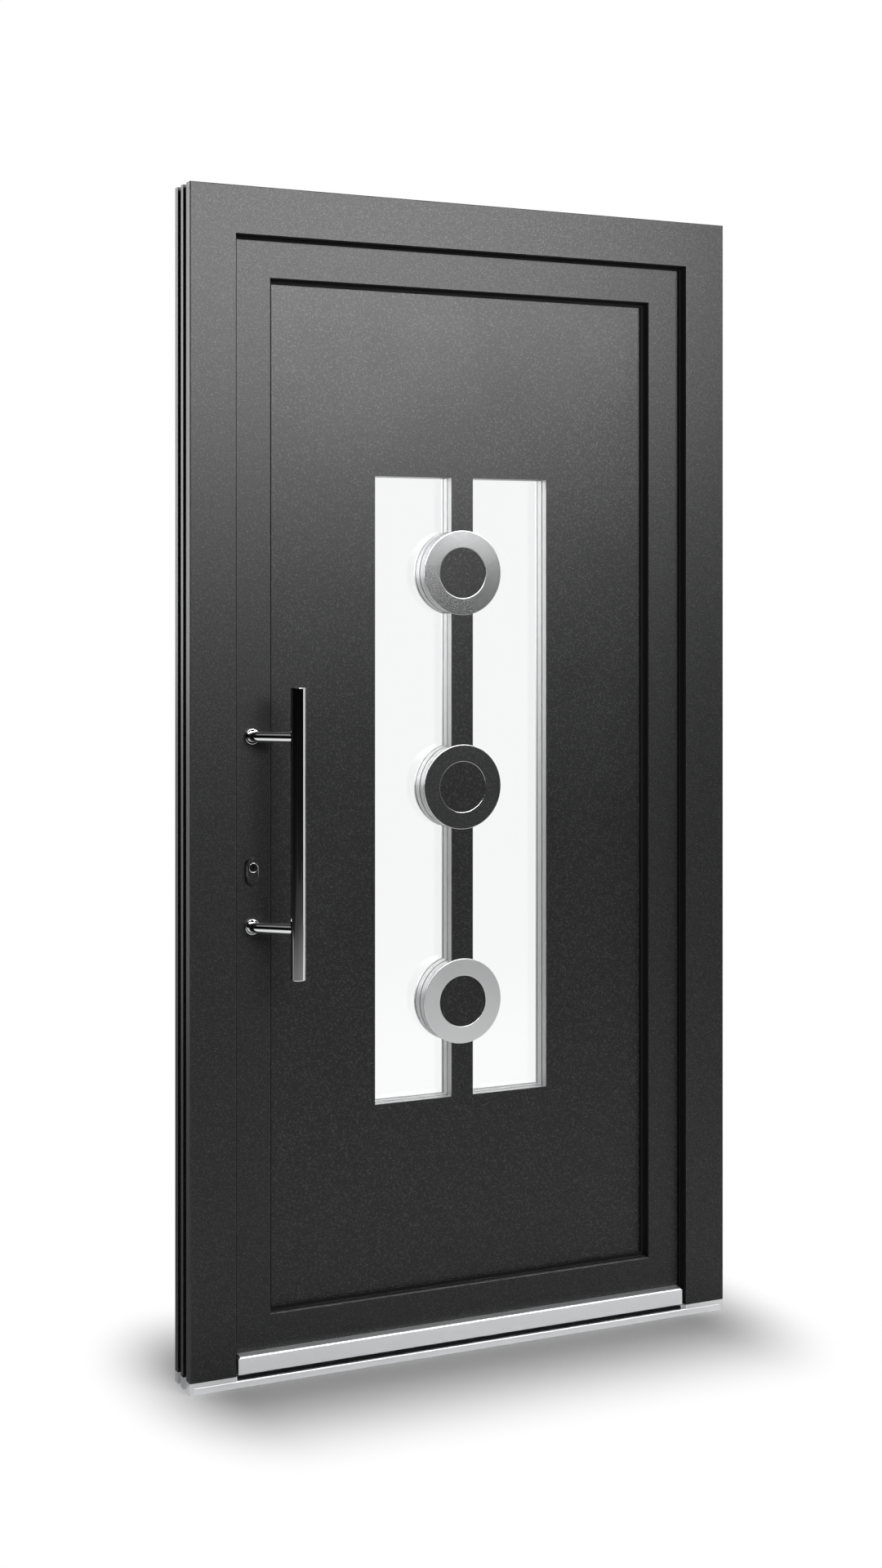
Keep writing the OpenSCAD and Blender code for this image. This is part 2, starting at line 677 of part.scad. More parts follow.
module pull_bar() {
    bevel = min(1, bar_radius / 4);
    color(silver) translate([bar_x, bar_y, handle_height - bar_long / 2]) rotate_extrude()
        polygon([[0, 0], [bar_radius - bevel, 0], [bar_radius, bevel], [bar_radius, bar_long - bevel],
            [bar_radius - bevel, bar_long], [0, bar_long]]);
}
// Arm: rose, straight start, bend and straight run up to the bar
module pull_arm(z) {
    start = rose_thick + arm_straight;
    lap = 0.5;    // the straight run starts just inside the bend
    color(silver) difference() {
        union() {
            translate([lock_x, y_leaf, z]) rotate([90, 0, 0]) rotate_extrude()
                polygon([[0, 0], [rose_radius, 0], [rose_radius, rose_thick - 1],
                    [rose_radius - 1, rose_thick], [0, rose_thick]]);
            translate([lock_x, y_leaf, z]) rotate([90, 0, 0]) cylinder(r = arm_radius, h = start);
            translate([lock_x + arm_bend, y_leaf - start, z]) rotate([0, 0, 180])
                rotate_extrude(angle = arm_angle) translate([arm_bend, 0]) circle(r = arm_radius);
            translate([lock_x + arm_bend * (1 - cos(arm_angle)) - lap * sin(arm_angle),
                y_leaf - start - arm_bend * sin(arm_angle) + lap * cos(arm_angle), z])
                rotate([90, 0, arm_angle]) cylinder(r = arm_radius - 0.03, h = arm_run);
        }
        translate([bar_x, bar_y, z - 2 * arm_radius]) cylinder(r = bar_radius, h = 4 * arm_radius);
    }
}
module pull_arm_upper() { pull_arm(handle_height + arm_pitch / 2); }
module pull_arm_lower() { pull_arm(handle_height - arm_pitch / 2); }

module escutcheon() {
    r = escutcheon_wide / 2;
    zm = cylinder_height - escutcheon_drop;
    half = escutcheon_tall / 2 - r;
    d0 = face_setback - escutcheon_thick;
    color([0.2, 0.2, 0.21]) difference() {
        union() {
            for (s = [-1, 1]) translate([lock_x, y_leaf, zm + s * half]) rotate([90, 0, 0]) rotate_extrude()
                polygon([[0, 0], [r, 0], [r, escutcheon_thick - 1.5], [r - 1.5, escutcheon_thick],
                    [0, escutcheon_thick]]);
            translate([lock_x - r, y_leaf - escutcheon_thick + 1.5, zm - half])
                cube([2 * r, escutcheon_thick - 1.5, 2 * half]);
            translate([lock_x - r + 1.5, y_leaf - escutcheon_thick, zm - half])
                cube([2 * r - 3, escutcheon_thick, 2 * half]);
        }
        round_y(lock_x, cylinder_height, cylinder_radius + cylinder_clear, d0 - e, face_setback + e);
        cylinder_form(cylinder_clear, face_setback - 3, face_setback + e);
    }
}
module lock_cylinder() {
    d0 = face_setback - cylinder_front;
    color(silver) difference() {
        union() {
            cylinder_form(0, face_setback - 3 + cylinder_clear, leaf_back + cylinder_rear);
            round_y(lock_x, cylinder_height, cylinder_radius, d0 + cylinder_bevel, leaf_back);
            translate([lock_x, y_front + d0 + cylinder_bevel, cylinder_height]) rotate([90, 0, 0])
                cylinder(r1 = cylinder_radius, r2 = cylinder_radius - cylinder_bevel, h = cylinder_bevel);
        }
        round_y(lock_x, cylinder_height, plug_radius + plug_clear, d0 - e, d0 + plug_long + plug_clear);
    }
}
module cylinder_plug() {
    d0 = face_setback - cylinder_front;
    color(silver) difference() {
        round_y(lock_x, cylinder_height, plug_radius, d0, d0 + plug_long);
        translate([lock_x - key_wide / 2, y_front + d0 - e, cylinder_height - key_tall / 2])
            cube([key_wide, plug_long - 4 + e, key_tall]);
    }
}
module lock_faceplate() {
    x = -hw + leaf_u + lock_groove_deep - faceplate_thick;
    y = y_front + groove_mid;
    wide = lock_groove - 2 * cylinder_clear;
    hook = faceplate_long / 2 - hook_end;
    hook_tall = 46;
    bolt_tall = 30;
    bolt_wide = 9;
    color(silver) union() {
        difference() {
            translate([x, y - wide / 2, panel_mid - faceplate_long / 2])
                cube([faceplate_thick, wide, faceplate_long]);
            for (s = [[panel_mid - hook, hook_tall], [panel_mid + hook, hook_tall],
                [cylinder_height - bolt_below, bolt_tall]])
                translate([x - e, y - bolt_wide / 2, s[0] - s[1] / 2]) cube([bolt_window + e, bolt_wide, s[1]]);
        }
        translate([x, y, cylinder_height + lever_above - latch_tall / 2]) linear_extrude(latch_tall)
            polygon([[-latch_out, -latch_half], [e, -latch_half], [e, latch_half], [0, latch_half],
                [-latch_out, -1]]);
    }
}

module inner_handle() {
    zl = cylinder_height + lever_above;
    zp = cylinder_height + lever_above / 2;
    half = (backplate_tall - backplate_wide) / 2;
    color(silver) difference() {
        union() {
            for (s = [[0, 2], [1.5, 0]]) {
                translate([lock_x - backplate_wide / 2 + s[0], y_inside, zp - half])
                    cube([backplate_wide - 2 * s[0], backplate_thick - s[1], 2 * half]);
                for (t = [-1, 1]) round_y(lock_x, zp + t * half, backplate_wide / 2 - s[0], leaf_back,
                    leaf_back + backplate_thick - s[1]);
            }
            round_y(lock_x, zl, collar_radius, leaf_back + backplate_thick - e,
                leaf_back + backplate_thick + 4);
            translate([lock_x, y_inside + lever_out, zl]) rotate([90, 0, 0])
                cylinder(r = lever_radius, h = lever_out - e);
            translate([lock_x, y_inside + lever_out, zl]) sphere(r = lever_radius);
            translate([lock_x, y_inside + lever_out, zl]) rotate([0, 90, 0])
                cylinder(r = lever_radius, h = lever_long);
            translate([lock_x + lever_long, y_inside + lever_out, zl]) sphere(r = lever_radius);
            translate([lock_x + lever_long, y_inside + lever_out, zl]) rotate([90, 0, 0])
                cylinder(r = lever_radius, h = lever_return);
        }
        cylinder_form(cylinder_clear, leaf_back - e, leaf_back + backplate_thick + cylinder_rear);
    }
}

module weather_bar() {
    half = hw - frame_face - weather_gap;
    d0 = face_setback - weather_deep;
    z1 = weather_low + weather_tall;
    w = weather_wall;
    color(silver) union() {
        along_foot([[z1, face_setback], [z1 - 1.7, d0 + 2.5], [z1 - 2.7, d0 + 0.8], [z1 - 4.3, d0],
            [weather_low, d0], [weather_low, d0 + w], [z1 - 4.6, d0 + w], [z1 - w - 2, d0 + w + 1.2],
            [z1 - w - 0.3, face_setback - w], [weather_low + 9, face_setback - w],
            [weather_low + 9, face_setback]], half - 3, 0);
        for (s = [-1, 1]) translate([s < 0 ? -half : half - 4, y_front + d0, weather_low])
            cube([4, lip_thick - 2 - d0, weather_tall - 4.3]);
    }
}

left_jamb();
right_jamb();
head();
threshold();
threshold_end_left();
threshold_end_right();
frame_seal();
strike_plate();
frame_hinge_lower();
frame_hinge_middle();
frame_hinge_upper();
left_stile();
right_stile();
top_rail();
bottom_rail();
leaf_seal();
bottom_seal();
glazing_seal();
glazing_beads();
panel_skin();
panel_body();
left_window_trim();
right_window_trim();
glass_outer_pane();
glass_spacer();
glass_inner_pane();
disc_top_ring();
disc_top_insert();
disc_middle_ring();
disc_middle_inlay();
disc_middle_insert();
disc_bottom_ring();
disc_bottom_insert();
pull_bar();
pull_arm_upper();
pull_arm_lower();
escutcheon();
lock_cylinder();
cylinder_plug();
lock_faceplate();
inner_handle();
leaf_hinge_lower();
leaf_hinge_middle();
leaf_hinge_upper();
weather_bar();
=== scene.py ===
"""Looks of a uPVC entrance door: its finishes, turned and drawn pieces, studio and camera.

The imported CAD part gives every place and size. This script dresses each of its nodes, and
builds finer pieces where a turned or drawn shape shows.
"""

import logging
import math
from dataclasses import dataclass, field
from enum import Enum

import bmesh
import bpy
from mathutils import Matrix, Vector

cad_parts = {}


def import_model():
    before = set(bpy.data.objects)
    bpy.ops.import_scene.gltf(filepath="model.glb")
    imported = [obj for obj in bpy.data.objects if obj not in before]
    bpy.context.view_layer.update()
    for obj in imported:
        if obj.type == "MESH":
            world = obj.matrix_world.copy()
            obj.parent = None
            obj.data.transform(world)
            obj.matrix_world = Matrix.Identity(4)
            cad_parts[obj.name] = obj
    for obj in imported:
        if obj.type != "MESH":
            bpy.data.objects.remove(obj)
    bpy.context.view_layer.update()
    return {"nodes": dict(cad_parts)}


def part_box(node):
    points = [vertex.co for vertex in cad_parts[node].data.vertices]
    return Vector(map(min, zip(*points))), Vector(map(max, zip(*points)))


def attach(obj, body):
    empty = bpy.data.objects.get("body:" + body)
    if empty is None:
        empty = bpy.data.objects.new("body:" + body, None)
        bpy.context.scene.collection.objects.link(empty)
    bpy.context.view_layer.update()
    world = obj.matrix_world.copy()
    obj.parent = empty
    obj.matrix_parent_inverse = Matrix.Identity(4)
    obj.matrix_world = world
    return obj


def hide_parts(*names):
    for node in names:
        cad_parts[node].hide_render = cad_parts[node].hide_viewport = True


log = logging.getLogger("door")
MM = 0.001
Colour = tuple[float, float, float]


class Grain(Enum):
    """Which way a finish runs, as the stretch of its pattern along X, Y and Z."""

    EVEN = (1.0, 1.0, 1.0)
    UPRIGHT = (1.0, 1.0, 0.8)
    LEVEL = (0.8, 1.0, 1.0)
    DRAWN_UP = (1.0, 1.0, 0.02)
    DRAWN_ALONG = (0.02, 1.0, 1.0)


class Axis(Enum):
    """Axis that a turned piece is turned about, as a unit direction."""

    FRONT = (0.0, -1.0, 0.0)
    BACK = (0.0, 1.0, 0.0)
    UP = (0.0, 0.0, 1.0)
    LEFT = (-1.0, 0.0, 0.0)
    RIGHT = (1.0, 0.0, 0.0)


class Along(Enum):
    """What a flag's tone follows."""

    OUTWARD = -1
    DEPTH = 1
    HEIGHT = 2


class Graph:
    """Adds nodes to one shader tree and links them."""

    def __init__(self, tree: bpy.types.NodeTree) -> None:
        """Keeps the tree and empties it.

        Args:
            tree: Node tree of a material, a world or a node group.
        """
        self.tree = tree
        tree.nodes.clear()

    def add(self, kind: str, inputs: dict | None = None, **settings: object) -> bpy.types.Node:
        """Adds one node.

        Args:
            kind: Node type without its ShaderNode prefix.
            inputs: Socket name or number to a value, or to the socket that feeds it.
            settings: Properties of the node itself.

        Returns:
            The new node.
        """
        prefix = "" if kind.startswith("NodeGroup") else "ShaderNode"
        node = self.tree.nodes.new(prefix + kind)
        for name, value in settings.items():
            setattr(node, name, value)
        for name, value in (inputs or {}).items():
            if isinstance(value, bpy.types.NodeSocket):
                self.tree.links.new(value, node.inputs[name])
            else:
                node.inputs[name].default_value = value
        return node

    def maths(self, operation: str, *values: object) -> bpy.types.NodeSocket:
        """Adds a Math node and returns its output.

        Args:
            operation: Name of the operation.
            values: Numbers or sockets, in order.

        Returns:
            The result's socket.
        """
        return self.add("Math", dict(enumerate(values)), operation=operation).outputs[0]

    def spread(self, value: object, low: float, high: float, out_low: float = 0.0,
               out_high: float = 1.0) -> bpy.types.NodeSocket:
        """Maps a value from one range to another, held at its ends.

        Args:
            value: Socket to map.
            low: Value that becomes out_low.
            high: Value that becomes out_high.
            out_low: Result at low.
            out_high: Result at high.

        Returns:
            The result's socket.
        """
        inputs = {"Value": value, "From Min": low, "From Max": high, "To Min": out_low, "To Max": out_high}
        return self.add("MapRange", inputs).outputs[0]

    def blend(self, factor: object, first: object, second: object) -> bpy.types.NodeSocket:
        """Mixes two colours.

        Args:
            factor: Share of the second colour.
            first: Colour or socket at 0.
            second: Colour or socket at 1.

        Returns:
            The mixed colour's socket.
        """
        node = self.add("Mix", {0: factor, 6: first, 7: second}, data_type="RGBA")
        return node.outputs[2]


@dataclass(frozen=True)
class Effect:
    """A surface effect that several materials share, kept as one node group."""

    name: str
    inputs: tuple[tuple[str, str, float], ...]
    outputs: tuple[str, ...]

    def group(self) -> bpy.types.NodeTree:
        """Returns the node group, built on its first use.

        Returns:
            The node group.
        """
        found = bpy.data.node_groups.get(self.name)
        if found:
            return found
        tree = bpy.data.node_groups.new(self.name, "ShaderNodeTree")
        tree.interface.new_socket("Vector", in_out="INPUT", socket_type="NodeSocketVector")
        for label, kind, value in self.inputs:
            tree.interface.new_socket(label, in_out="INPUT", socket_type=kind).default_value = value
        for label in self.outputs:
            tree.interface.new_socket(label, in_out="OUTPUT", socket_type="NodeSocketFloat")
        graph = Graph(tree)
        entry = graph.add("NodeGroupInput").outputs
        made = self.draw(graph, entry)
        leave = graph.add("NodeGroupOutput")
        for label in self.outputs:
            tree.links.new(made[label], leave.inputs[label])
        return tree

    def draw(self, graph: Graph, entry: bpy.types.NodeOutputs) -> dict[str, bpy.types.NodeSocket]:
        """Draws the effect's nodes; each effect has its own."""
        raise NotImplementedError

    def place(self, graph: Graph, vector: bpy.types.NodeSocket, **values: float) -> bpy.types.NodeOutputs:
        """Places the group in a material.

        Args:
            graph: The material's graph.
            vector: Coordinates that the effect reads.
            values: Values of the group's inputs.

        Returns:
            The group's outputs.
        """
        node = graph.add("Group", {}, node_tree=self.group())
        graph.tree.links.new(vector, node.inputs["Vector"])
        for name, value in values.items():
            node.inputs[name].default_value = value
        return node.outputs


@dataclass(frozen=True)
class FoilGrain(Effect):
    """Fine pebbled grain of a laminated foil, with the light specks on its high spots."""

    name: str = "foil_grain"
    inputs: tuple = (("Pitch", "NodeSocketFloat", 700.0), ("Speck_share", "NodeSocketFloat", 0.6))
    outputs: tuple = ("Height", "Speck", "Cloud")

    def draw(self, graph: Graph, entry: bpy.types.NodeOutputs) -> dict[str, bpy.types.NodeSocket]:
        """Draws pebbles, specks and slow clouds.

        Args:
            graph: The group's graph.
            entry: Sockets of the group's inputs.

        Returns:
            Each output's socket by its name.
        """
        pebble = graph.add("TexNoise", {"Vector": entry["Vector"], "Scale": entry["Pitch"], "Detail": 2.0,
                                        "Roughness": 0.6})
        fine = graph.add("TexNoise", {"Vector": entry["Vector"], "Detail": 1.0, "Roughness": 0.5,
                                      "Scale": graph.maths("MULTIPLY", entry["Pitch"], 0.9)},
                         noise_dimensions="4D")
        fine.inputs["W"].default_value = 3.7
        limit = entry["Speck_share"]
        above = graph.maths("SUBTRACT", fine.outputs[0], limit)
        speck = graph.spread(above, -0.03, 0.15)
        cloud = graph.add("TexNoise", {"Vector": entry["Vector"], "Scale": 5.0, "Detail": 3.0})
        return {"Height": pebble.outputs[0], "Speck": speck, "Cloud": cloud.outputs[0]}


@dataclass(frozen=True)
class DrawnLines(Effect):
    """Fine lines that drawing or brushing leaves along a metal."""

    name: str = "drawn_lines"
    inputs: tuple = (("Pitch", "NodeSocketFloat", 900.0), ("Low", "NodeSocketFloat", 0.25),
                     ("High", "NodeSocketFloat", 0.4))
    outputs: tuple = ("Height", "Roughness", "Tone")

    def draw(self, graph: Graph, entry: bpy.types.NodeOutputs) -> dict[str, bpy.types.NodeSocket]:
        """Draws the lines, and the gloss and tone that go with them.

        Args:
            graph: The group's graph.
            entry: Sockets of the group's inputs.

        Returns:
            Each output's socket by its name.
        """
        line = graph.add("TexNoise", {"Vector": entry["Vector"], "Scale": entry["Pitch"], "Detail": 3.0,
                                      "Roughness": 0.65})
        slow = graph.add("TexNoise", {"Vector": entry["Vector"], "Scale": 14.0, "Detail": 2.0})
        both = graph.maths("MULTIPLY_ADD", line.outputs[0], 0.6, graph.maths("MULTIPLY", slow.outputs[0], 0.4))
        rough = graph.add("MapRange", {"Value": both, "From Min": 0.3, "From Max": 0.7,
                                       "To Min": entry["Low"], "To Max": entry["High"]})
        tone = graph.spread(both, 0.3, 0.7)
        return {"Height": line.outputs[0], "Roughness": rough.outputs[0], "Tone": tone}


@dataclass(frozen=True)
class Handling(Effect):
    """Faint smears and fine dust that handling leaves on a smooth face."""

    name: str = "handling"
    inputs: tuple = (("Size", "NodeSocketFloat", 18.0), ("Low", "NodeSocketFloat", 0.1),
                     ("High", "NodeSocketFloat", 0.2))
    outputs: tuple = ("Roughness", "Dust")

    def draw(self, graph: Graph, entry: bpy.types.NodeOutputs) -> dict[str, bpy.types.NodeSocket]:
        """Draws smears, and dust that lies on faces that look up.

        Args:
            graph: The group's graph.
            entry: Sockets of the group's inputs.

        Returns:
            Each output's socket by its name.
        """
        smear = graph.add("TexNoise", {"Vector": entry["Vector"], "Scale": entry["Size"], "Detail": 4.0,
                                       "Roughness": 0.55, "Distortion": 0.6})
        rough = graph.add("MapRange", {"Value": smear.outputs[0], "From Min": 0.35, "From Max": 0.7,
                                       "To Min": entry["Low"], "To Max": entry["High"]})
        face = graph.add("SeparateXYZ", {0: graph.add("NewGeometry").outputs["Normal"]})
        up = graph.spread(face.outputs[2], 0.5, 1.0)
        grit = graph.add("TexNoise", {"Vector": entry["Vector"], "Scale": 420.0, "Detail": 2.0})
        dust = graph.maths("MULTIPLY", up, graph.spread(grit.outputs[0], 0.48, 0.75))
        return {"Roughness": rough.outputs[0], "Dust": dust}


@dataclass(frozen=True)
class EdgeWearAndHighlight(Effect):
    """Mask of the narrow strip along each edge, where a finish is rubbed brighter, and where a much lighter edge
    colour paints a highlight.
    """

    name: str = "edge_wear_and_highlight"
    inputs: tuple = (("Width", "NodeSocketFloat", 0.0008),)
    outputs: tuple = ("Mask", "Straight")

    def draw(self, graph: Graph, entry: bpy.types.NodeOutputs) -> dict[str, bpy.types.NodeSocket]:
        """Compares the rounded normal with the face's own, broken up by a fine noise.

        Straight leaves out the slanting edges, such as mitres, which are welded and flush.

        Args:
            graph: The group's graph.
            entry: Sockets of the group's inputs.

        Returns:
            The mask's socket by its name.
        """
        soft = graph.add("Bevel", {"Radius": entry["Width"]}, samples=4)
        flat = graph.add("NewGeometry").outputs["Normal"]
        turn = graph.add("VectorMath", {0: soft.outputs[0], 1: flat}, operation="DOT_PRODUCT")
        edge = graph.spread(turn.outputs["Value"], 0.995, 0.8)
        patch = graph.add("TexNoise", {"Vector": entry["Vector"], "Scale": 60.0, "Detail": 3.0})
        mask = graph.maths("MULTIPLY", edge, graph.spread(patch.outputs[0], 0.3, 0.6, 0.4))
        lean = graph.add("SeparateXYZ", {0: soft.outputs[0]})
        slant = graph.maths("ABSOLUTE", graph.maths("MULTIPLY", lean.outputs[0], lean.outputs[2]))
        return {"Mask": mask, "Straight": graph.maths("MULTIPLY", mask, graph.spread(slant, 0.0, 0.03, 1.0, 0.0))}


@dataclass(frozen=True)
class Finish:
    """A finish of the door; each kind draws its own material once and shares it."""

    name: str
    grain: Grain = Grain.EVEN

    def material(self) -> bpy.types.Material:
        """Returns the finish's material, drawn on its first use.

        Returns:
            The material.
        """
        found = bpy.data.materials.get(self.name)
        if found:
            return found
        made = bpy.data.materials.new(self.name)
        made.use_nodes = True
        graph = Graph(made.node_tree)
        shader = graph.add("BsdfPrincipled")
        graph.add("OutputMaterial", {"Surface": shader.outputs[0]})
        coords = graph.add("TexCoord").outputs["Object"]
        turned = graph.add("Mapping", {"Vector": coords, "Scale": self.grain.value}).outputs[0]
        self.draw(graph, shader, turned, coords)
        return made

    def draw(self, graph: Graph, shader: bpy.types.Node, vector: bpy.types.NodeSocket,
             coords: bpy.types.NodeSocket) -> None:
        """Draws the finish's nodes; each finish has its own."""
        raise NotImplementedError

    def bump(self, graph: Graph, shader: bpy.types.Node, height: bpy.types.NodeSocket, strength: float,
             distance: float) -> None:
        """Feeds a height into the shader's normal.

        Args:
            graph: The material's graph.
            shader: Its Principled shader.
            height: Socket of the height.
            strength: Strength of the bump.
            distance: Height of the bump in metres.
        """
        node = graph.add("Bump", {"Strength": strength, "Distance": distance, "Height": height})
        graph.tree.links.new(node.outputs[0], shader.inputs["Normal"])

    def on(self, *pieces: bpy.types.Object) -> None:
        """Gives the finish to each piece.

        Args:
            pieces: CAD nodes or new pieces.
        """
        for piece in pieces:
            piece.data.materials.clear()
            piece.data.materials.append(self.material())


@dataclass(frozen=True)
class Foil(Finish):
    """Anthracite foil with a fine pebbled grain and light specks."""

    tone: Colour = (0.003, 0.0031, 0.0032)
    light: Colour = (0.0216, 0.0222, 0.0228)
    edge: Colour = (0.13, 0.133, 0.136)
    low: float = 0.35
    high: float = 0.4
    coat: float = 0.25
    pitch: float = 410.0

    def draw(self, graph: Graph, shader: bpy.types.Node, vector: bpy.types.NodeSocket,
             coords: bpy.types.NodeSocket) -> None:
        """Draws the foil.

        Args:
            graph: The material's graph.
            shader: Its Principled shader.
            vector: Coordinates stretched along the grain.
            coords: Plain object coordinates.
        """
        grain = FoilGrain().place(graph, vector, Pitch=self.pitch, Speck_share=0.55)
        colour = graph.blend(grain["Speck"], (*self.tone, 1.0), (*self.light, 1.0))
        dust = Handling().place(graph, coords, Size=18.0, Low=self.low, High=self.high)["Dust"]
        colour = graph.blend(graph.maths("MULTIPLY", dust, 0.3), colour, (0.2, 0.2, 0.19, 1.0))
        # Edges take the edge colour: rubbed wear, and where that colour is much lighter, as on the bottom rail and
        # the escutcheon, a painted highlight.
        rubbed = EdgeWearAndHighlight().place(graph, coords, Width=0.0012)["Straight"]
        colour = graph.blend(graph.maths("MULTIPLY", rubbed, 0.75), colour, (*self.edge, 1.0))
        graph.tree.links.new(colour, shader.inputs["Base Color"])
        graph.tree.links.new(graph.spread(grain["Cloud"], 0.3, 0.7, self.low, self.high),
                             shader.inputs["Roughness"])
        coat = graph.spread(grain["Speck"], 0.0, 1.0, 0.1 * self.coat, 0.82 * self.coat)
        graph.tree.links.new(coat, shader.inputs["Coat Weight"])
        shader.inputs["Coat Roughness"].default_value = 0.32
        shader.inputs["Specular IOR Level"].default_value = 0.3
        self.bump(graph, shader, grain["Height"], 0.16, 0.0002)


@dataclass(frozen=True)
class RebateShadedFoil(Foil):
    """Foil of a frame section, with painted shade on the rebate's walls that look at the opening or down: they are
    coloured near black.
    """

    # Near-black colour of the painted shade on those walls.
    wall: Colour = (0.0012, 0.0012, 0.0013)

    def draw(self, graph: Graph, shader: bpy.types.Node, vector: bpy.types.NodeSocket,
             coords: bpy.types.NodeSocket) -> None:
        """Draws the foil, then paints shade on the walls that look at the opening or down.

        Args:
            graph: The material's graph.
            shader: Its Principled shader.
            vector: Coordinates stretched along the grain.
            coords: Plain object coordinates.
        """
        super().draw(graph, shader, vector, coords)
        foil = shader.inputs["Base Color"].links[0].from_socket
        coat = shader.inputs["Coat Weight"].links[0].from_socket
        # Painted shade: walls facing the door's middle or facing down get the near-black colour, no coat and full
        # roughness.
        face = graph.add("SeparateXYZ", {0: graph.add("TexCoord").outputs["Normal"]})
        place = graph.add("SeparateXYZ", {0: coords})
        inward = graph.maths("MULTIPLY", graph.maths("SIGN", place.outputs[0]), face.outputs[0])
        down = graph.maths("MINIMUM", graph.maths("MINIMUM", inward, face.outputs[2]), 0.0)
        dark = graph.spread(down, -0.35, -0.6)
        colour = graph.blend(dark, foil, (*self.wall, 1.0))
        graph.tree.links.new(colour, shader.inputs["Base Color"])
        graph.tree.links.new(graph.maths("MULTIPLY", coat, graph.spread(dark, 0.0, 1.0, 1.0, 0.0)),
                             shader.inputs["Coat Weight"])
        graph.tree.links.new(graph.spread(dark, 0.0, 1.0, self.high, 1.0), shader.inputs["Roughness"])


@dataclass(frozen=True)
class LinedPanel(Foil):
    """Foil on the panel's inner face, with the windows' silver lining on its cut edges."""

    lining: Colour = (0.5, 0.505, 0.51)

    def draw(self, graph: Graph, shader: bpy.types.Node, vector: bpy.types.NodeSocket,
             coords: bpy.types.NodeSocket) -> None:
        """Draws the foil, then the lining where the face looks sideways.

        Args:
            graph: The material's graph.
            shader: Its Principled shader.
            vector: Coordinates stretched along the grain.
            coords: Plain object coordinates.
        """
        super().draw(graph, shader, vector, coords)
        foil = shader.inputs["Base Color"].links[0].from_socket
        face = graph.add("SeparateXYZ", {0: graph.add("TexCoord").outputs["Normal"]})
        side = graph.spread(graph.maths("ABSOLUTE", face.outputs[1]), 0.6, 0.4)
        colour = graph.blend(side, foil, (*self.lining, 1.0))
        graph.tree.links.new(colour, shader.inputs["Base Color"])
        graph.tree.links.new(side, shader.inputs["Metallic"])


@dataclass(frozen=True)
class Metal(Finish):
    """A metal with drawn lines, rubbed edges and faint handling marks."""

    tone: Colour = (0.62, 0.63, 0.64)
    edge: Colour = (0.8, 0.81, 0.82)
    low: float = 0.28
    high: float = 0.38
    pitch: float = 900.0
    relief: float = 0.08
    shift: float = 0.06
    wear: float = 0.0007
    dusty: bool = False

    def draw(self, graph: Graph, shader: bpy.types.Node, vector: bpy.types.NodeSocket,
             coords: bpy.types.NodeSocket) -> None:
        """Draws the metal.

        Args:
            graph: The material's graph.
            shader: Its Principled shader.
            vector: Coordinates stretched along the drawing.
            coords: Plain object coordinates.
        """
        lines = DrawnLines().place(graph, vector, Pitch=self.pitch, Low=self.low, High=self.high)
        darker = tuple(c * (1 - self.shift) for c in self.tone)
        colour = graph.blend(lines["Tone"], (*darker, 1.0), (*self.tone, 1.0))
        rubbed = EdgeWearAndHighlight().place(graph, coords, Width=self.wear)["Mask"]
        colour = graph.blend(graph.maths("MULTIPLY", rubbed, 0.7), colour, (*self.edge, 1.0))
        if self.dusty:
            dust = Handling().place(graph, coords, Size=18.0, Low=self.low, High=self.high)["Dust"]
            colour = graph.blend(graph.maths("MULTIPLY", dust, 0.12), colour, (0.55, 0.54, 0.52, 1.0))
        graph.tree.links.new(colour, shader.inputs["Base Color"])
        graph.tree.links.new(lines["Roughness"], shader.inputs["Roughness"])
        shader.inputs["Metallic"].default_value = 1.0
        self.bump(graph, shader, lines["Height"], self.relief, 0.0001)


@dataclass(frozen=True)
class Polished(Finish):
    """Polished steel with faint smears."""

    tone: Colour = (0.7, 0.7, 0.71)

    def draw(self, graph: Graph, shader: bpy.types.Node, vector: bpy.types.NodeSocket,
             coords: bpy.types.NodeSocket) -> None:
        """Draws the polished steel.

        Args:
            graph: The material's graph.
            shader: Its Principled shader.
            vector: Coordinates stretched along the polishing.
            coords: Plain object coordinates.
        """
        marks = Handling().place(graph, coords, Size=26.0, Low=0.025, High=0.05)
        lines = DrawnLines().place(graph, vector, Pitch=1400.0, Low=0.05, High=0.1)
        colour = graph.blend(graph.maths("MULTIPLY", lines["Tone"], 0.5), (*self.tone, 1.0),
                             (*(c * 0.94 for c in self.tone), 1.0))
        graph.tree.links.new(colour, shader.inputs["Base Color"])
        graph.tree.links.new(marks["Roughness"], shader.inputs["Roughness"])
        shader.inputs["Metallic"].default_value = 1.0
        self.bump(graph, shader, lines["Height"], 0.004, 0.00005)


@dataclass(frozen=True)
class Rubber(Finish):
    """Black sealing rubber with a dull, slightly uneven skin."""

    tone: Colour = (0.006, 0.006, 0.0062)
    dust: float = 0.02
    gloss: float = 0.015

    def draw(self, graph: Graph, shader: bpy.types.Node, vector: bpy.types.NodeSocket,
             coords: bpy.types.NodeSocket) -> None:
        """Draws the rubber.

        Args:
            graph: The material's graph.
            shader: Its Principled shader.
            vector: Coordinates stretched along the seal.
            coords: Plain object coordinates.
        """
        grain = FoilGrain().place(graph, vector, Pitch=900.0, Speck_share=0.66)
        marks = Handling().place(graph, coords, Size=30.0, Low=0.6, High=0.75)
        colour = graph.blend(graph.maths("MULTIPLY", marks["Dust"], self.dust), (*self.tone, 1.0),
                             (0.2, 0.2, 0.19, 1.0))
        graph.tree.links.new(colour, shader.inputs["Base Color"])
        graph.tree.links.new(marks["Roughness"], shader.inputs["Roughness"])
        shader.inputs["Specular IOR Level"].default_value = self.gloss
        self.bump(graph, shader, grain["Height"], 0.1, 0.0001)


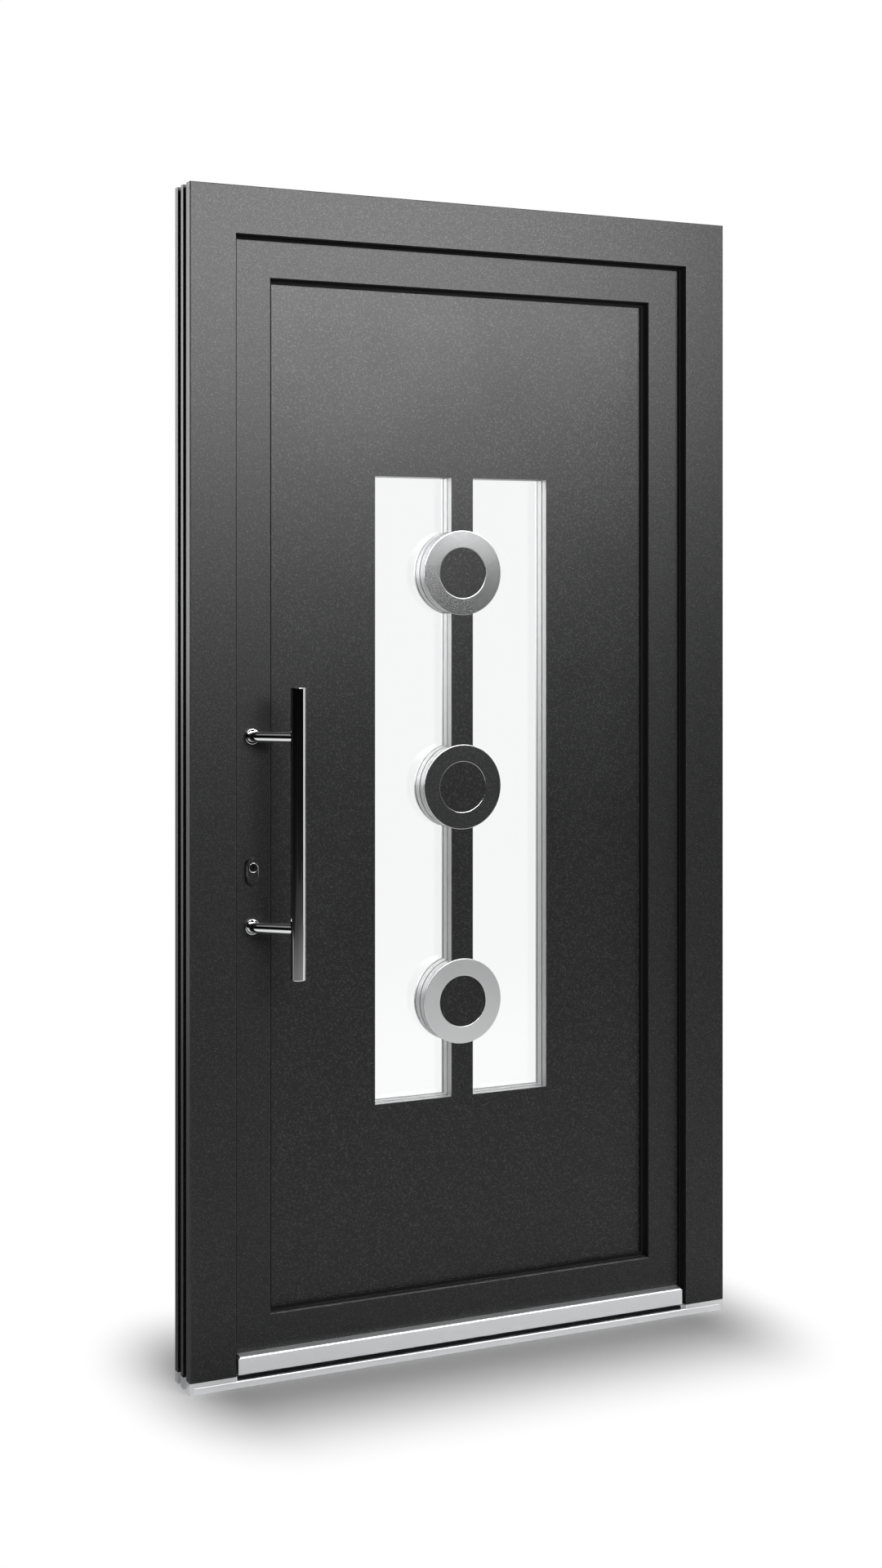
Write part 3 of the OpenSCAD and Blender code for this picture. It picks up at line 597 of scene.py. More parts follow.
@dataclass(frozen=True)
class ClearGlass(Finish):
    """Clear float glass with a faint green cast and a film of smears."""

    tone: Colour = (0.977, 0.98, 0.979)

    def draw(self, graph: Graph, shader: bpy.types.Node, vector: bpy.types.NodeSocket,
             coords: bpy.types.NodeSocket) -> None:
        """Draws the glass.

        Args:
            graph: The material's graph.
            shader: Its Principled shader.
            vector: Stretched coordinates; not used.
            coords: Plain object coordinates.
        """
        marks = Handling().place(graph, coords, Size=6.0, Low=0.0, High=0.012)
        graph.tree.links.new(marks["Roughness"], shader.inputs["Roughness"])
        shader.inputs["Base Color"].default_value = (*self.tone, 1.0)
        shader.inputs["Transmission Weight"].default_value = 1.0
        shader.inputs["IOR"].default_value = 1.47


class Shop:
    """Bench tools that turn, draw and fasten new pieces with mesh operators."""

    @staticmethod
    def arc(centre: tuple[float, float], radius: float, start: float, end: float, steps: int = 5
            ) -> list[tuple[float, float]]:
        """Points of a rounded corner in a turning profile.

        Args:
            centre: Centre of the rounding, as radius and height.
            radius: Radius of the rounding.
            start: Angle of the first point, in degrees.
            end: Angle of the last point, in degrees.
            steps: Number of steps between them.

        Returns:
            The points in order.
        """
        angles = [math.radians(start + (end - start) * i / steps) for i in range(steps + 1)]
        return [(centre[0] + radius * math.cos(a), centre[1] + radius * math.sin(a)) for a in angles]

    @staticmethod
    def turning(axis: Axis, centre: Vector) -> Matrix:
        """Matrix that stands a piece turned about Z on another axis.

        Args:
            axis: Axis of the finished piece.
            centre: Where the profile's origin goes, in metres.

        Returns:
            The matrix.
        """
        turn = Vector((0.0, 0.0, 1.0)).rotation_difference(Vector(axis.value))
        return Matrix.Translation(centre) @ turn.to_matrix().to_4x4()

    @staticmethod
    def lathe(mesh: bmesh.types.BMesh, profile: list[tuple[float, float]], axis: Axis, centre: Vector,
              steps: int = 96) -> None:
        """Turns a profile in millimetres and adds it to a mesh.

        Args:
            mesh: Mesh that gets the turned shape.
            profile: Points as radius and height; it closes on itself where it leaves the axis.
            axis: Axis of the finished piece.
            centre: Where the profile's origin goes, in metres.
            steps: Number of steps round the axis.
        """
        points = [mesh.verts.new((r * MM, 0.0, h * MM)) for r, h in profile]
        edges = [mesh.edges.new(pair) for pair in zip(points, points[1:])]
        if profile[0][0] > 0 and profile[-1][0] > 0:
            edges.append(mesh.edges.new((points[-1], points[0])))
        before = set(mesh.verts) - set(points)
        bmesh.ops.spin(mesh, geom=points + edges, cent=(0, 0, 0), axis=(0, 0, 1), dvec=(0, 0, 0),
                       angle=math.tau, steps=steps, use_merge=True, use_normal_flip=False,
                       use_duplicate=False)
        made = [v for v in mesh.verts if v not in before]
        bmesh.ops.remove_doubles(mesh, verts=made, dist=1e-6)
        made = [v for v in mesh.verts if v not in before]
        bmesh.ops.transform(mesh, matrix=Shop.turning(axis, centre), verts=made)

    @staticmethod
    def finish(mesh: bmesh.types.BMesh, name: str, body: str, slot: str, finish: Finish,
               replaces: tuple[str, ...] = (), sharp: float = 40.0) -> bpy.types.Object:
        """Makes an object of a mesh, dresses it and seats it on its CAD body.

        Args:
            mesh: The finished mesh, in the row frame.
            name: Name of the piece.
            body: CAD body that it rides on.
            slot: Material slot of the record; not used.
            finish: Its finish.
            replaces: CAD nodes that it stands for.
            sharp: Angle above which an edge stays sharp, in degrees.

        Returns:
            The new object.
        """
        bmesh.ops.recalc_face_normals(mesh, faces=mesh.faces[:])
        data = bpy.data.meshes.new(name)
        mesh.to_mesh(data)
        mesh.free()
        data.shade_smooth()
        data.set_sharp_from_angle(angle=math.radians(sharp))
        piece = bpy.data.objects.new(name, data)
        bpy.context.scene.collection.objects.link(piece)
        finish.on(piece)
        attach(piece, body)
        if replaces:
            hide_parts(*replaces)
        log.info("piece %s: %d faces on body %s", name, len(data.polygons), body)
        return piece

    @staticmethod
    def screw(mesh: bmesh.types.BMesh, place: Vector, axis: Axis, radius: float = 3.6) -> None:
        """Adds the head of a countersunk screw with a six-point star recess.

        Args:
            mesh: Mesh that gets the screw.
            place: Middle of the head's seat on the surface, in metres.
            axis: Direction that the head looks in.
            radius: Radius of the head, in millimetres.
        """
        before = set(mesh.verts)
        bmesh.ops.create_cone(mesh, cap_ends=True, segments=24, radius1=radius * MM,
                              radius2=radius * 0.86 * MM, depth=1.0 * MM)
        made = [v for v in mesh.verts if v not in before]
        top = max((f for f in mesh.faces if f.verts[0] in made), key=lambda f: f.calc_center_median().z)
        bmesh.ops.inset_region(mesh, faces=[top], thickness=radius * 0.42 * MM, depth=0.0)
        for count, vert in enumerate(top.verts):
            if count % 4 < 2:
                vert.co.xy *= 0.74
        well = bmesh.ops.extrude_discrete_faces(mesh, faces=[top])["faces"]
        bmesh.ops.translate(mesh, verts=well[0].verts[:], vec=(0, 0, -0.8 * MM))
        made = [v for v in mesh.verts if v not in before]
        bmesh.ops.transform(mesh, matrix=Shop.turning(axis, place), verts=made)


@dataclass
class Finishes:
    """Every finish of the door, by the part of the maker's list it covers."""

    foil_upright: RebateShadedFoil = RebateShadedFoil("foil_upright", Grain.UPRIGHT, pitch=560.0)
    foil_level: RebateShadedFoil = RebateShadedFoil("foil_level", Grain.LEVEL, pitch=560.0)
    # The bottom rail's foil has a much lighter edge colour: a painted highlight along its straight edges.
    foil_foot: RebateShadedFoil = RebateShadedFoil("foil_foot", Grain.LEVEL, edge=(0.6, 0.605, 0.61), pitch=560.0)
    foil_panel: Foil = Foil("foil_panel", Grain.EVEN)
    # The inlay's foil is a lighter copy and the inserts' foil a less glossy copy of the panel foil: painted shade
    # that makes the recessed inserts darker than the inlay.
    foil_inlay: Foil = Foil("foil_inlay", Grain.EVEN, tone=(0.0085, 0.0088, 0.009), coat=0.2)
    foil_insert: Foil = Foil("foil_insert", Grain.EVEN, coat=0.12)
    lined: LinedPanel = LinedPanel("lined_panel", Grain.EVEN)
    aluminium: Metal = Metal("anodised_aluminium", Grain.DRAWN_ALONG, tone=(0.8, 0.81, 0.82),
                             edge=(0.88, 0.885, 0.89), low=0.38, high=0.48, shift=0.04, dusty=True)
    aluminium_end: Metal = Metal("anodised_end", Grain.DRAWN_UP, tone=(0.76, 0.77, 0.78), low=0.34,
                                 high=0.44, dusty=True)
    spacer: Metal = Metal("spacer_aluminium", Grain.DRAWN_UP, tone=(0.5, 0.505, 0.51), low=0.4, high=0.5)
    trim: Metal = Metal("satin_trim", Grain.DRAWN_UP, tone=(0.46, 0.465, 0.47), low=0.4, high=0.5)
    disc: Metal = Metal("satin_disc", Grain.EVEN, tone=(0.6, 0.605, 0.61), low=0.18, high=0.2,
                        pitch=700.0, relief=0.03)
    # A lighter, rougher copy of the disc finish for the bottom disc: its lighter tone is painted light.
    disc_foot: Metal = Metal("satin_disc_foot", Grain.EVEN, tone=(0.68, 0.685, 0.69), low=0.3, high=0.34,
                             pitch=700.0, relief=0.03)
    hardware: Metal = Metal("satin_hardware", Grain.DRAWN_UP, tone=(0.52, 0.53, 0.54))
    hinge: Metal = Metal("coated_hinge", Grain.EVEN, tone=(0.5, 0.51, 0.52), low=0.35, high=0.45,
                         pitch=500.0)
    # The escutcheon's foil has a much lighter edge colour: a painted highlight round its edges.
    dark_plate: Foil = Foil("dark_plate", Grain.EVEN, edge=(0.45, 0.45, 0.455), coat=0.1)
    dark_steel: Metal = Metal("darkened_steel", Grain.EVEN, tone=(0.36, 0.36, 0.365),
                              edge=(0.5, 0.5, 0.505), low=0.06, high=0.09, wear=0.0004)
    polished: Polished = Polished("polished_handle", Grain.DRAWN_UP)
    dark_rim: Polished = Polished("dark_rim", Grain.EVEN, tone=(0.7, 0.7, 0.705))
    rubber: Rubber = Rubber("sealing_rubber", Grain.EVEN)
    glazing_rubber: Rubber = Rubber("glazing_rubber", Grain.EVEN, tone=(0.008, 0.008, 0.0082),
                                    dust=0.6, gloss=0.03)
    glass: ClearGlass = ClearGlass("clear_glass")


@dataclass
class FixedFrame:
    """The fixed frame: two jambs, head, threshold with its ends, seal, strike and hinge halves."""

    nodes: dict[str, bpy.types.Object]
    finishes: Finishes
    screw_offset: float = 16.0
    riser_y: float = -30.3
    lip_z: float = 14.4

    def dress(self) -> None:
        """Gives each node of the fixed frame its finish."""
        own, put = self.nodes, self.finishes
        put.foil_upright.on(own["left_jamb"], own["right_jamb"])
        put.foil_level.on(own["head"])
        put.aluminium.on(own["threshold"])
        put.aluminium_end.on(own["threshold_end_left"], own["threshold_end_right"])
        put.rubber.on(own["frame_seal"])
        put.hardware.on(own["strike_plate"])
        put.hinge.on(own["frame_hinge_lower"], own["frame_hinge_middle"], own["frame_hinge_upper"])

    def build(self) -> list[bpy.types.Object]:
        """Builds the screws that hold the strike and the hinge halves.

        Returns:
            The new pieces.
        """
        mesh = bmesh.new()
        low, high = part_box("strike_plate")
        for z in (low.z + 9 * MM, high.z - 9 * MM):
            Shop.screw(mesh, Vector((high.x, (low.y + high.y) / 2, z)), Axis.RIGHT, 3.4)
        for name in ("frame_hinge_lower", "frame_hinge_middle", "frame_hinge_upper"):
            low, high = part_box(name)
            for z in (low.z + 10 * MM, low.z + 44 * MM):
                Shop.screw(mesh, Vector((high.x - 3.9 * MM, low.y + 4 * MM, z)), Axis.BACK, 3.2)
        return [Shop.finish(mesh, "frame_screws", "frame", "steel", self.finishes.hardware), self.sill_seal()]

    def sill_seal(self) -> bpy.types.Object:
        """Makes the rubber lip on the threshold's riser, under the weather bar.

        Returns:
            The new piece.
        """
        low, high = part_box("weather_bar")
        mesh = bmesh.new()
        bmesh.ops.create_cube(mesh, size=1.0)
        bmesh.ops.scale(mesh, vec=(high.x - low.x, 3.2 * MM, 5.6 * MM), verts=mesh.verts[:])
        seat = Vector(((low.x + high.x) / 2, self.riser_y * MM, self.lip_z * MM))
        bmesh.ops.translate(mesh, verts=mesh.verts[:], vec=seat)
        bmesh.ops.bevel(mesh, geom=mesh.edges[:], offset=0.8 * MM, segments=2, profile=0.5,
                        affect="EDGES", material=-1)
        return Shop.finish(mesh, "threshold_seal", "frame", "black_rubber", self.finishes.rubber)


@dataclass
class Leaf:
    """The leaf: welded sections, seals, beads and weather bar."""

    nodes: dict[str, bpy.types.Object]
    finishes: Finishes

    def dress(self) -> None:
        """Gives each node of the leaf its finish."""
        own, put = self.nodes, self.finishes
        put.foil_upright.on(own["left_stile"], own["right_stile"])
        put.foil_level.on(own["top_rail"])
        put.foil_foot.on(own["bottom_rail"])
        put.foil_panel.on(own["glazing_beads"])
        put.rubber.on(own["leaf_seal"], own["bottom_seal"])
        put.glazing_rubber.on(own["glazing_seal"])
        put.aluminium.on(own["weather_bar"])

    def build(self) -> list[bpy.types.Object]:
        """Builds the screws of the leaf's hinge halves.

        Returns:
            The new pieces.
        """
        mesh = bmesh.new()
        for name in ("leaf_hinge_lower", "leaf_hinge_middle", "leaf_hinge_upper"):
            low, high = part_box(name)
            for z in (low.z + 12 * MM, (low.z + high.z) / 2, high.z - 12 * MM):
                Shop.screw(mesh, Vector((low.x + 18 * MM, low.y + 4 * MM, z)), Axis.BACK, 3.4)
        return [Shop.finish(mesh, "leaf_hinge_screws", "leaf", "steel", self.finishes.hardware)]


@dataclass
class WindowPanel:
    """The infill panel with its two windows, silver linings and sealed unit."""

    nodes: dict[str, bpy.types.Object]
    finishes: Finishes

    def dress(self) -> None:
        """Gives each node of the panel its finish."""
        own, put = self.nodes, self.finishes
        put.foil_panel.on(own["panel_skin"])
        put.lined.on(own["panel_body"])
        put.trim.on(own["left_window_trim"], own["right_window_trim"])
        put.glass.on(own["glass_outer_pane"], own["glass_inner_pane"])
        put.spacer.on(own["glass_spacer"])


@dataclass
class DiscSet:
    """The three discs on the upright bar: two silver rings and one with a foil inlay."""

    nodes: dict[str, bpy.types.Object]
    finishes: Finishes
    radius: float = 78.0
    recess: float = 46.5
    proud: float = 2.5
    rounding: float = 0.9
    rim: float = 1.6
    lip: float = 0.75
    seat: float = 1.0
    dome: float = 0.15

    def dress(self) -> None:
        """Gives the inserts their foil."""
        for name in ("disc_top_insert", "disc_middle_insert", "disc_bottom_insert"):
            self.finishes.foil_insert.on(self.nodes[name])

    def seat_of(self, where: str) -> Vector:
        """Middle of a disc's seat on the panel.

        Args:
            where: Which disc: top, middle or bottom.

        Returns:
            The place, in metres.
        """
        low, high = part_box(f"disc_{where}_ring")
        return Vector(((low.x + high.x) / 2, high.y, (low.z + high.z) / 2))

    def ring(self, where: str, profile: list[tuple[float, float]]) -> bpy.types.Object:
        """Turns one disc ring and lets it stand for its CAD node.

        Args:
            where: Which disc: top, middle or bottom.
            profile: Its closed profile.

        Returns:
            The new piece.
        """
        mesh = bmesh.new()
        Shop.lathe(mesh, profile, Axis.FRONT, self.seat_of(where), 144)
        # The bottom disc takes the lighter copy of the disc finish: painted light.
        finish = self.finishes.disc_foot if where == "bottom" else self.finishes.disc
        return Shop.finish(mesh, f"{where}_disc_face", "leaf", "steel", finish,
                           (f"disc_{where}_ring",), 50.0)

    def build(self) -> list[bpy.types.Object]:
        """Builds the three rings with rounded rims.

        Returns:
            The new pieces.
        """
        r, c, t, b, d = self.radius, self.recess, self.proud, self.rounding, self.dome
        plain = [(c, 0.0), (r, 0.0), (r, t - d - b - 0.5), *Shop.arc((r - b, t - d - b), b, 0, 88),
                 (r - b - 0.4, t - d + 0.005), (c + b + 0.4, t - 0.005), *Shop.arc((c + b, t - b), b, 88, 180),
                 (c, t - b - 0.4)]
        w, s, lip = self.rim, self.seat, self.lip
        rims = [(c, 0.0), (r, 0.0), (r, t - b - 0.5), *Shop.arc((r - b, t - b), b, 0, 90), (r - w, t), (r - w, s),
                (c + lip, s), *Shop.arc((c + lip, t - 0.1 - lip), lip, 90, 180), (c, t - 0.5 - lip)]
        return [self.ring("top", plain), self.ring("middle", rims), self.ring("bottom", plain), self.inlay()]

    def inlay(self) -> bpy.types.Object:
        """Turns the middle disc's foil-covered inlay, which lies between its two rims.

        Returns:
            The new piece.
        """
        f, gap, t = 0.4, 0.15, self.proud - 0.1
        inner, outer = self.recess + self.lip + gap, self.radius - self.rim - gap
        profile = [(inner, self.seat), (outer, self.seat), *Shop.arc((outer - f, t - f), f, 0, 90, 3),
                   (outer - f - 0.3, t), (inner + f + 0.3, t), *Shop.arc((inner + f, t - f), f, 90, 180, 3)]
        mesh = bmesh.new()
        Shop.lathe(mesh, profile, Axis.FRONT, self.seat_of("middle"), 144)
        return Shop.finish(mesh, "middle_disc_inlay", "leaf", "dark_inlay", self.finishes.foil_inlay,
                           ("disc_middle_inlay",), 50.0)


@dataclass
class PullHandle:
    """The pull handle: an upright bar on two arms that bend sideways from their roses."""

    finishes: Finishes
    bar_radius: float = 13.46
    arm_radius: float = 9.2
    arm_bend: float = 18.0
    arm_angle: float = 48.0
    arm_straight: float = 2.0
    rose_radius: float = 13.6
    rose_thick: float = 6.0
    bar_offset: float = 60.0

    def bar(self) -> bpy.types.Object:
        """Turns the bar with its softly rounded ends.

        Returns:
            The new piece.
        """
        low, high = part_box("pull_bar")
        tall = (high.z - low.z) / MM
        r, b = self.bar_radius, 1.2
        profile = [(0.0, 0.0), (r - b - 0.4, 0.0), *Shop.arc((r - b, b), b, -90, 0, 6), (r, b + 0.4),
                   (r, tall - b - 0.4), *Shop.arc((r - b, tall - b), b, 0, 90, 6), (r - b - 0.4, tall), (0.0, tall)]
        mesh = bmesh.new()
        Shop.lathe(mesh, profile, Axis.UP, Vector(((low.x + high.x) / 2, (low.y + high.y) / 2, low.z)), 128)
        return Shop.finish(mesh, "handle_bar", "leaf", "polished_steel", self.finishes.polished,
                           ("pull_bar",), 60.0)

    def arm(self, where: str) -> bpy.types.Object:
        """Draws one arm out of its rose, bends it and runs it into the bar.

        Args:
            where: Which arm: upper or lower.

        Returns:
            The new piece.
        """
        low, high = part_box(f"pull_arm_{where}")
        seat = Vector((low.x + self.rose_radius * MM, high.y, (low.z + high.z) / 2))
        mesh = bmesh.new()
        r, t = self.rose_radius, self.rose_thick
        rose = [(0.0, 0.0), (r, 0.0), (r, t - 1.3), *Shop.arc((r - 0.9, t - 0.9), 0.9, 0, 90, 6),
                (r - 1.3, t), (0.0, t)]
        Shop.lathe(mesh, rose, Axis.FRONT, seat, 96)
        before = set(mesh.verts)
        bmesh.ops.create_circle(mesh, cap_ends=True, segments=64, radius=self.arm_radius * MM)
        loop = [v for v in mesh.verts if v not in before]
        root = seat + Vector((0, -(self.rose_thick - 1.0) * MM, 0))
        bmesh.ops.transform(mesh, matrix=Shop.turning(Axis.FRONT, root), verts=loop)
        edges = [e for e in mesh.edges if e.verts[0] in loop and e.verts[1] in loop]
        edges = self.draw_out(mesh, edges, Vector((0, -(self.arm_straight + 1.0) * MM, 0)))
        pivot = seat + Vector((self.arm_bend, -(self.rose_thick + self.arm_straight), 0)) * MM
        bent = bmesh.ops.spin(mesh, geom=edges + list({v for e in edges for v in e.verts}), cent=pivot,
                              axis=(0, 0, 1), dvec=(0, 0, 0), angle=math.radians(self.arm_angle), steps=14,
                              use_merge=False, use_normal_flip=False, use_duplicate=False)
        edges = [g for g in bent["geom_last"] if isinstance(g, bmesh.types.BMEdge)]
        angle = math.radians(self.arm_angle)
        run = (self.bar_offset - self.arm_bend * (1 - math.cos(angle))) / math.sin(angle) - 6.0
        edges = self.draw_out(mesh, edges, Vector((math.sin(angle), -math.cos(angle), 0)) * run * MM)
        bmesh.ops.holes_fill(mesh, edges=edges, sides=0)
        return Shop.finish(mesh, f"handle_arm_{where}", "leaf", "polished_steel", self.finishes.polished,
                           (f"pull_arm_{where}",), 50.0)

    @staticmethod
    def draw_out(mesh: bmesh.types.BMesh, edges: list[bmesh.types.BMEdge], run: Vector
                 ) -> list[bmesh.types.BMEdge]:
        """Extrudes a loop of edges and moves it.

        Args:
            mesh: The mesh.
            edges: The loop.
            run: How far it moves, in metres.

        Returns:
            The loop at the far end.
        """
        made = bmesh.ops.extrude_edge_only(mesh, edges=edges)["geom"]
        verts = [g for g in made if isinstance(g, bmesh.types.BMVert)]
        bmesh.ops.translate(mesh, verts=verts, vec=run)
        return [g for g in made if isinstance(g, bmesh.types.BMEdge)
                and g.verts[0] in verts and g.verts[1] in verts]

    def build(self) -> list[bpy.types.Object]:
        """Builds the bar and both arms.

        Returns:
            The new pieces.
        """
        return [self.bar(), self.arm("upper"), self.arm("lower")]


@dataclass
class LockSet:
    """Escutcheon, cylinder, plug, faceplate and inner handle."""

    nodes: dict[str, bpy.types.Object]
    finishes: Finishes
    screw_places: tuple[float, ...] = field(default=(0.02, 0.21, 0.42, 0.58, 0.79, 0.98))
    rim_radius: float = 7.9
    rim_tube: float = 0.45

    def dress(self) -> None:
        """Gives each node of the lock its finish."""
        own, put = self.nodes, self.finishes
        put.dark_plate.on(own["escutcheon"])
        put.dark_steel.on(own["lock_cylinder"], own["cylinder_plug"])
        put.hardware.on(own["lock_faceplate"], own["inner_handle"])
        put.hinge.on(own["leaf_hinge_lower"], own["leaf_hinge_middle"], own["leaf_hinge_upper"])

    def build(self) -> list[bpy.types.Object]:
        """Builds the screws of the faceplate, and the cylinder's rim.

        Returns:
            The new pieces.
        """
        mesh = bmesh.new()
        low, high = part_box("lock_faceplate")
        for share in self.screw_places:
            z = low.z + (high.z - low.z) * share
            Shop.screw(mesh, Vector((high.x - 2.8 * MM, (low.y + high.y) / 2, z)), Axis.LEFT, 3.2)
        return [Shop.finish(mesh, "lock_screws", "leaf", "steel", self.finishes.hardware), self.rim()]

    def rim(self) -> bpy.types.Object:
        """Turns the rounded rim of the cylinder.

        Returns:
            The new piece.
        """
        mesh = bmesh.new()
        low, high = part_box("cylinder_plug")
        middle = Vector(((low.x + high.x) / 2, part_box("lock_cylinder")[0].y, (low.z + high.z) / 2))
        r, t = self.rim_radius, self.rim_tube
        profile = [(r - t, -0.2), (r + t, -0.2), *Shop.arc((r, 0.0), t, 0, 180, 8)]
        Shop.lathe(mesh, profile, Axis.FRONT, middle, 64)
        return Shop.finish(mesh, "lock_rim", "leaf", "dark_steel", self.finishes.dark_rim, (), 60.0)


@dataclass
class Studio:
    """A pale floor and soft light that show a colour about as it is written."""

    floor_reach: float = 14.0
    white_from: float = 0.0
    white_to: float = 0.42
    world_level: float = 0.26

    def rays(self, graph: Graph) -> bpy.types.NodeSocket:
        """Mask of the rays that see the background: camera, glossy and transmission.

        Args:
            graph: Graph that gets the nodes.

        Returns:
            The mask's socket.
        """
        path = graph.add("LightPath").outputs
        seen = graph.maths("MAXIMUM", path["Is Camera Ray"], path["Is Glossy Ray"])
        return graph.maths("MAXIMUM", seen, path["Is Transmission Ray"])

    def world(self) -> None:
        """Makes a white surround with an even, softer light of its own."""
        world = bpy.data.worlds.new("studio")
        bpy.context.scene.world = world
        world.use_nodes = True
        graph = Graph(world.node_tree)
        dim = graph.add("Background", {"Color": (1, 1, 1, 1), "Strength": self.world_level})
        bright = graph.add("Background", {"Color": (1, 1, 1, 1), "Strength": 1.0})
        mixed = graph.add("MixShader", {0: self.rays(graph), 1: dim.outputs[0], 2: bright.outputs[0]})
        graph.add("OutputWorld", {"Surface": mixed.outputs[0]})

    def sheet(self, name: str, corners: Matrix, size: tuple[float, float]) -> bpy.types.Object:
        """Makes a flat stage sheet.

        Args:
            name: Name of the sheet.
            corners: Where its middle goes and how it is turned.
            size: Its width and height in metres.

        Returns:
            The stage object.
        """
        mesh = bmesh.new()
        bmesh.ops.create_grid(mesh, x_segments=1, y_segments=1, size=0.5)
        bmesh.ops.scale(mesh, vec=(size[0], size[1], 1), verts=mesh.verts[:])
        bmesh.ops.transform(mesh, matrix=corners, verts=mesh.verts[:])
        data = bpy.data.meshes.new(name)
        mesh.to_mesh(data)
        mesh.free()
        piece = bpy.data.objects.new(name, data)
        bpy.context.scene.collection.objects.link(piece)
        return piece

    def floor(self) -> None:
        """Makes the floor: it keeps the shadow near the door, deepened there by a darker floor colour that only the
        camera sees (painted shade), and is white further out.
        """
        piece = self.sheet("floor", Matrix.Translation((0, 0, -0.0004)), (2 * self.floor_reach,) * 2)
        made = bpy.data.materials.new("pale_floor")
        made.use_nodes = True
        graph = Graph(made.node_tree)
        matt = graph.add("BsdfDiffuse", {"Color": (0.55, 0.55, 0.55, 1)})
        # Camera rays near the door see this darker floor instead of the 0.55 one: painted shade that deepens the
        # contact shadow.
        shaded = graph.add("BsdfDiffuse", {"Color": (0.27, 0.27, 0.27, 1)})
        camera = graph.add("LightPath").outputs["Is Camera Ray"]
        white = graph.add("Emission", {"Color": (1, 1, 1, 1), "Strength": 1.0})
        place = graph.add("TexCoord").outputs["Object"]
        size = graph.add("VectorMath", {0: place}, operation="ABSOLUTE").outputs[0]
        past = graph.add("VectorMath", {0: size, 1: (0.44, 0.04, 0.0)}, operation="SUBTRACT").outputs[0]
        past = graph.add("VectorMath", {0: past, 1: (0.0, 0.0, 0.0)}, operation="MAXIMUM").outputs[0]
        past = graph.add("VectorMath", {0: past, 1: (1.7, 1.0, 0.0)}, operation="MULTIPLY").outputs[0]
        away = graph.add("VectorMath", {0: past}, operation="LENGTH").outputs["Value"]
        far = graph.add("MapRange", {"Value": away, "From Min": self.white_from, "From Max": self.white_to},
                        interpolation_type="SMOOTHSTEP").outputs[0]
        seen = graph.maths("MULTIPLY", far, self.rays(graph))
        near = graph.add("MixShader", {0: camera, 1: matt.outputs[0], 2: shaded.outputs[0]})
        both = graph.add("MixShader", {0: seen, 1: near.outputs[0], 2: white.outputs[0]})
        graph.add("OutputMaterial", {"Surface": both.outputs[0]})
        piece.data.materials.append(made)

    def reflection_flag(self, name: str, place: Matrix, size: tuple[float, float], follows: Along,
             ramps: tuple[tuple[float, float, float, float], ...]) -> None:
        """Hangs a sheet that only gloss sees and that glows at its tones: a painted reflection, mostly dark, in the
        polished metal.

        Args:
            name: Name of the flag.
            place: Where its middle goes and how it is turned.
            size: Its width and height in metres.
            follows: What its tone follows: the distance from the door, the depth or the height.
            ramps: Parts of its tone that add up, each as start, end, tone at start and tone at end.
        """
        piece = self.sheet(name, place, size)
        for look in ("camera", "diffuse", "transmission", "volume_scatter", "shadow"):
            setattr(piece, f"visible_{look}", False)
        made = bpy.data.materials.new(name)
        made.use_nodes = True
        graph = Graph(made.node_tree)
        place = graph.add("TexCoord").outputs["Object"]
        if follows is Along.OUTWARD:
            along = graph.add("VectorMath", {0: place}, operation="LENGTH").outputs["Value"]
        else:
            along = graph.add("SeparateXYZ", {0: place}).outputs[follows.value]
        tone = 0.0
        for ramp in ramps:
            tone = graph.maths("ADD", tone, graph.spread(along, *ramp))
        glow = graph.add("Emission", {"Color": (1, 1, 1, 1), "Strength": tone})
        graph.add("OutputMaterial", {"Surface": glow.outputs[0]})
        piece.data.materials.append(made)

    @staticmethod
    def upright(middle: tuple[float, float, float], facing: float) -> Matrix:
        """Place of an upright sheet.

        Args:
            middle: Its middle, in metres.
            facing: Its turn about Z, in degrees.

        Returns:
            The matrix.
        """
        turn = Matrix.Rotation(math.radians(facing), 4, "Z") @ Matrix.Rotation(math.radians(90), 4, "X")
        return Matrix.Translation(middle) @ turn

    def lamp(self, name: str, place: tuple[float, float, float], aim: tuple[float, float, float],
             size: tuple[float, float], power: float) -> None:
        """Hangs a soft area lamp.

        Args:
            name: Name of the lamp.
            place: Where it hangs, in metres.
            aim: Point that it looks at.
            size: Its width and height in metres.
            power: Its power in watts.
        """
        data = bpy.data.lights.new(name, "AREA")
        data.shape, data.size, data.size_y, data.energy = "RECTANGLE", size[0], size[1], power
        lamp = bpy.data.objects.new(name, data)
        bpy.context.scene.collection.objects.link(lamp)
        lamp.location = place
        lamp.visible_camera = False
        lamp.rotation_euler = (Vector(aim) - Vector(place)).to_track_quat("-Z", "Y").to_euler()

    def build(self) -> None:
        """Makes world, floor, flags and lamps, and sets the view."""
        scene = bpy.context.scene
        scene.view_settings.view_transform = "Standard"
        self.world()
        self.floor()
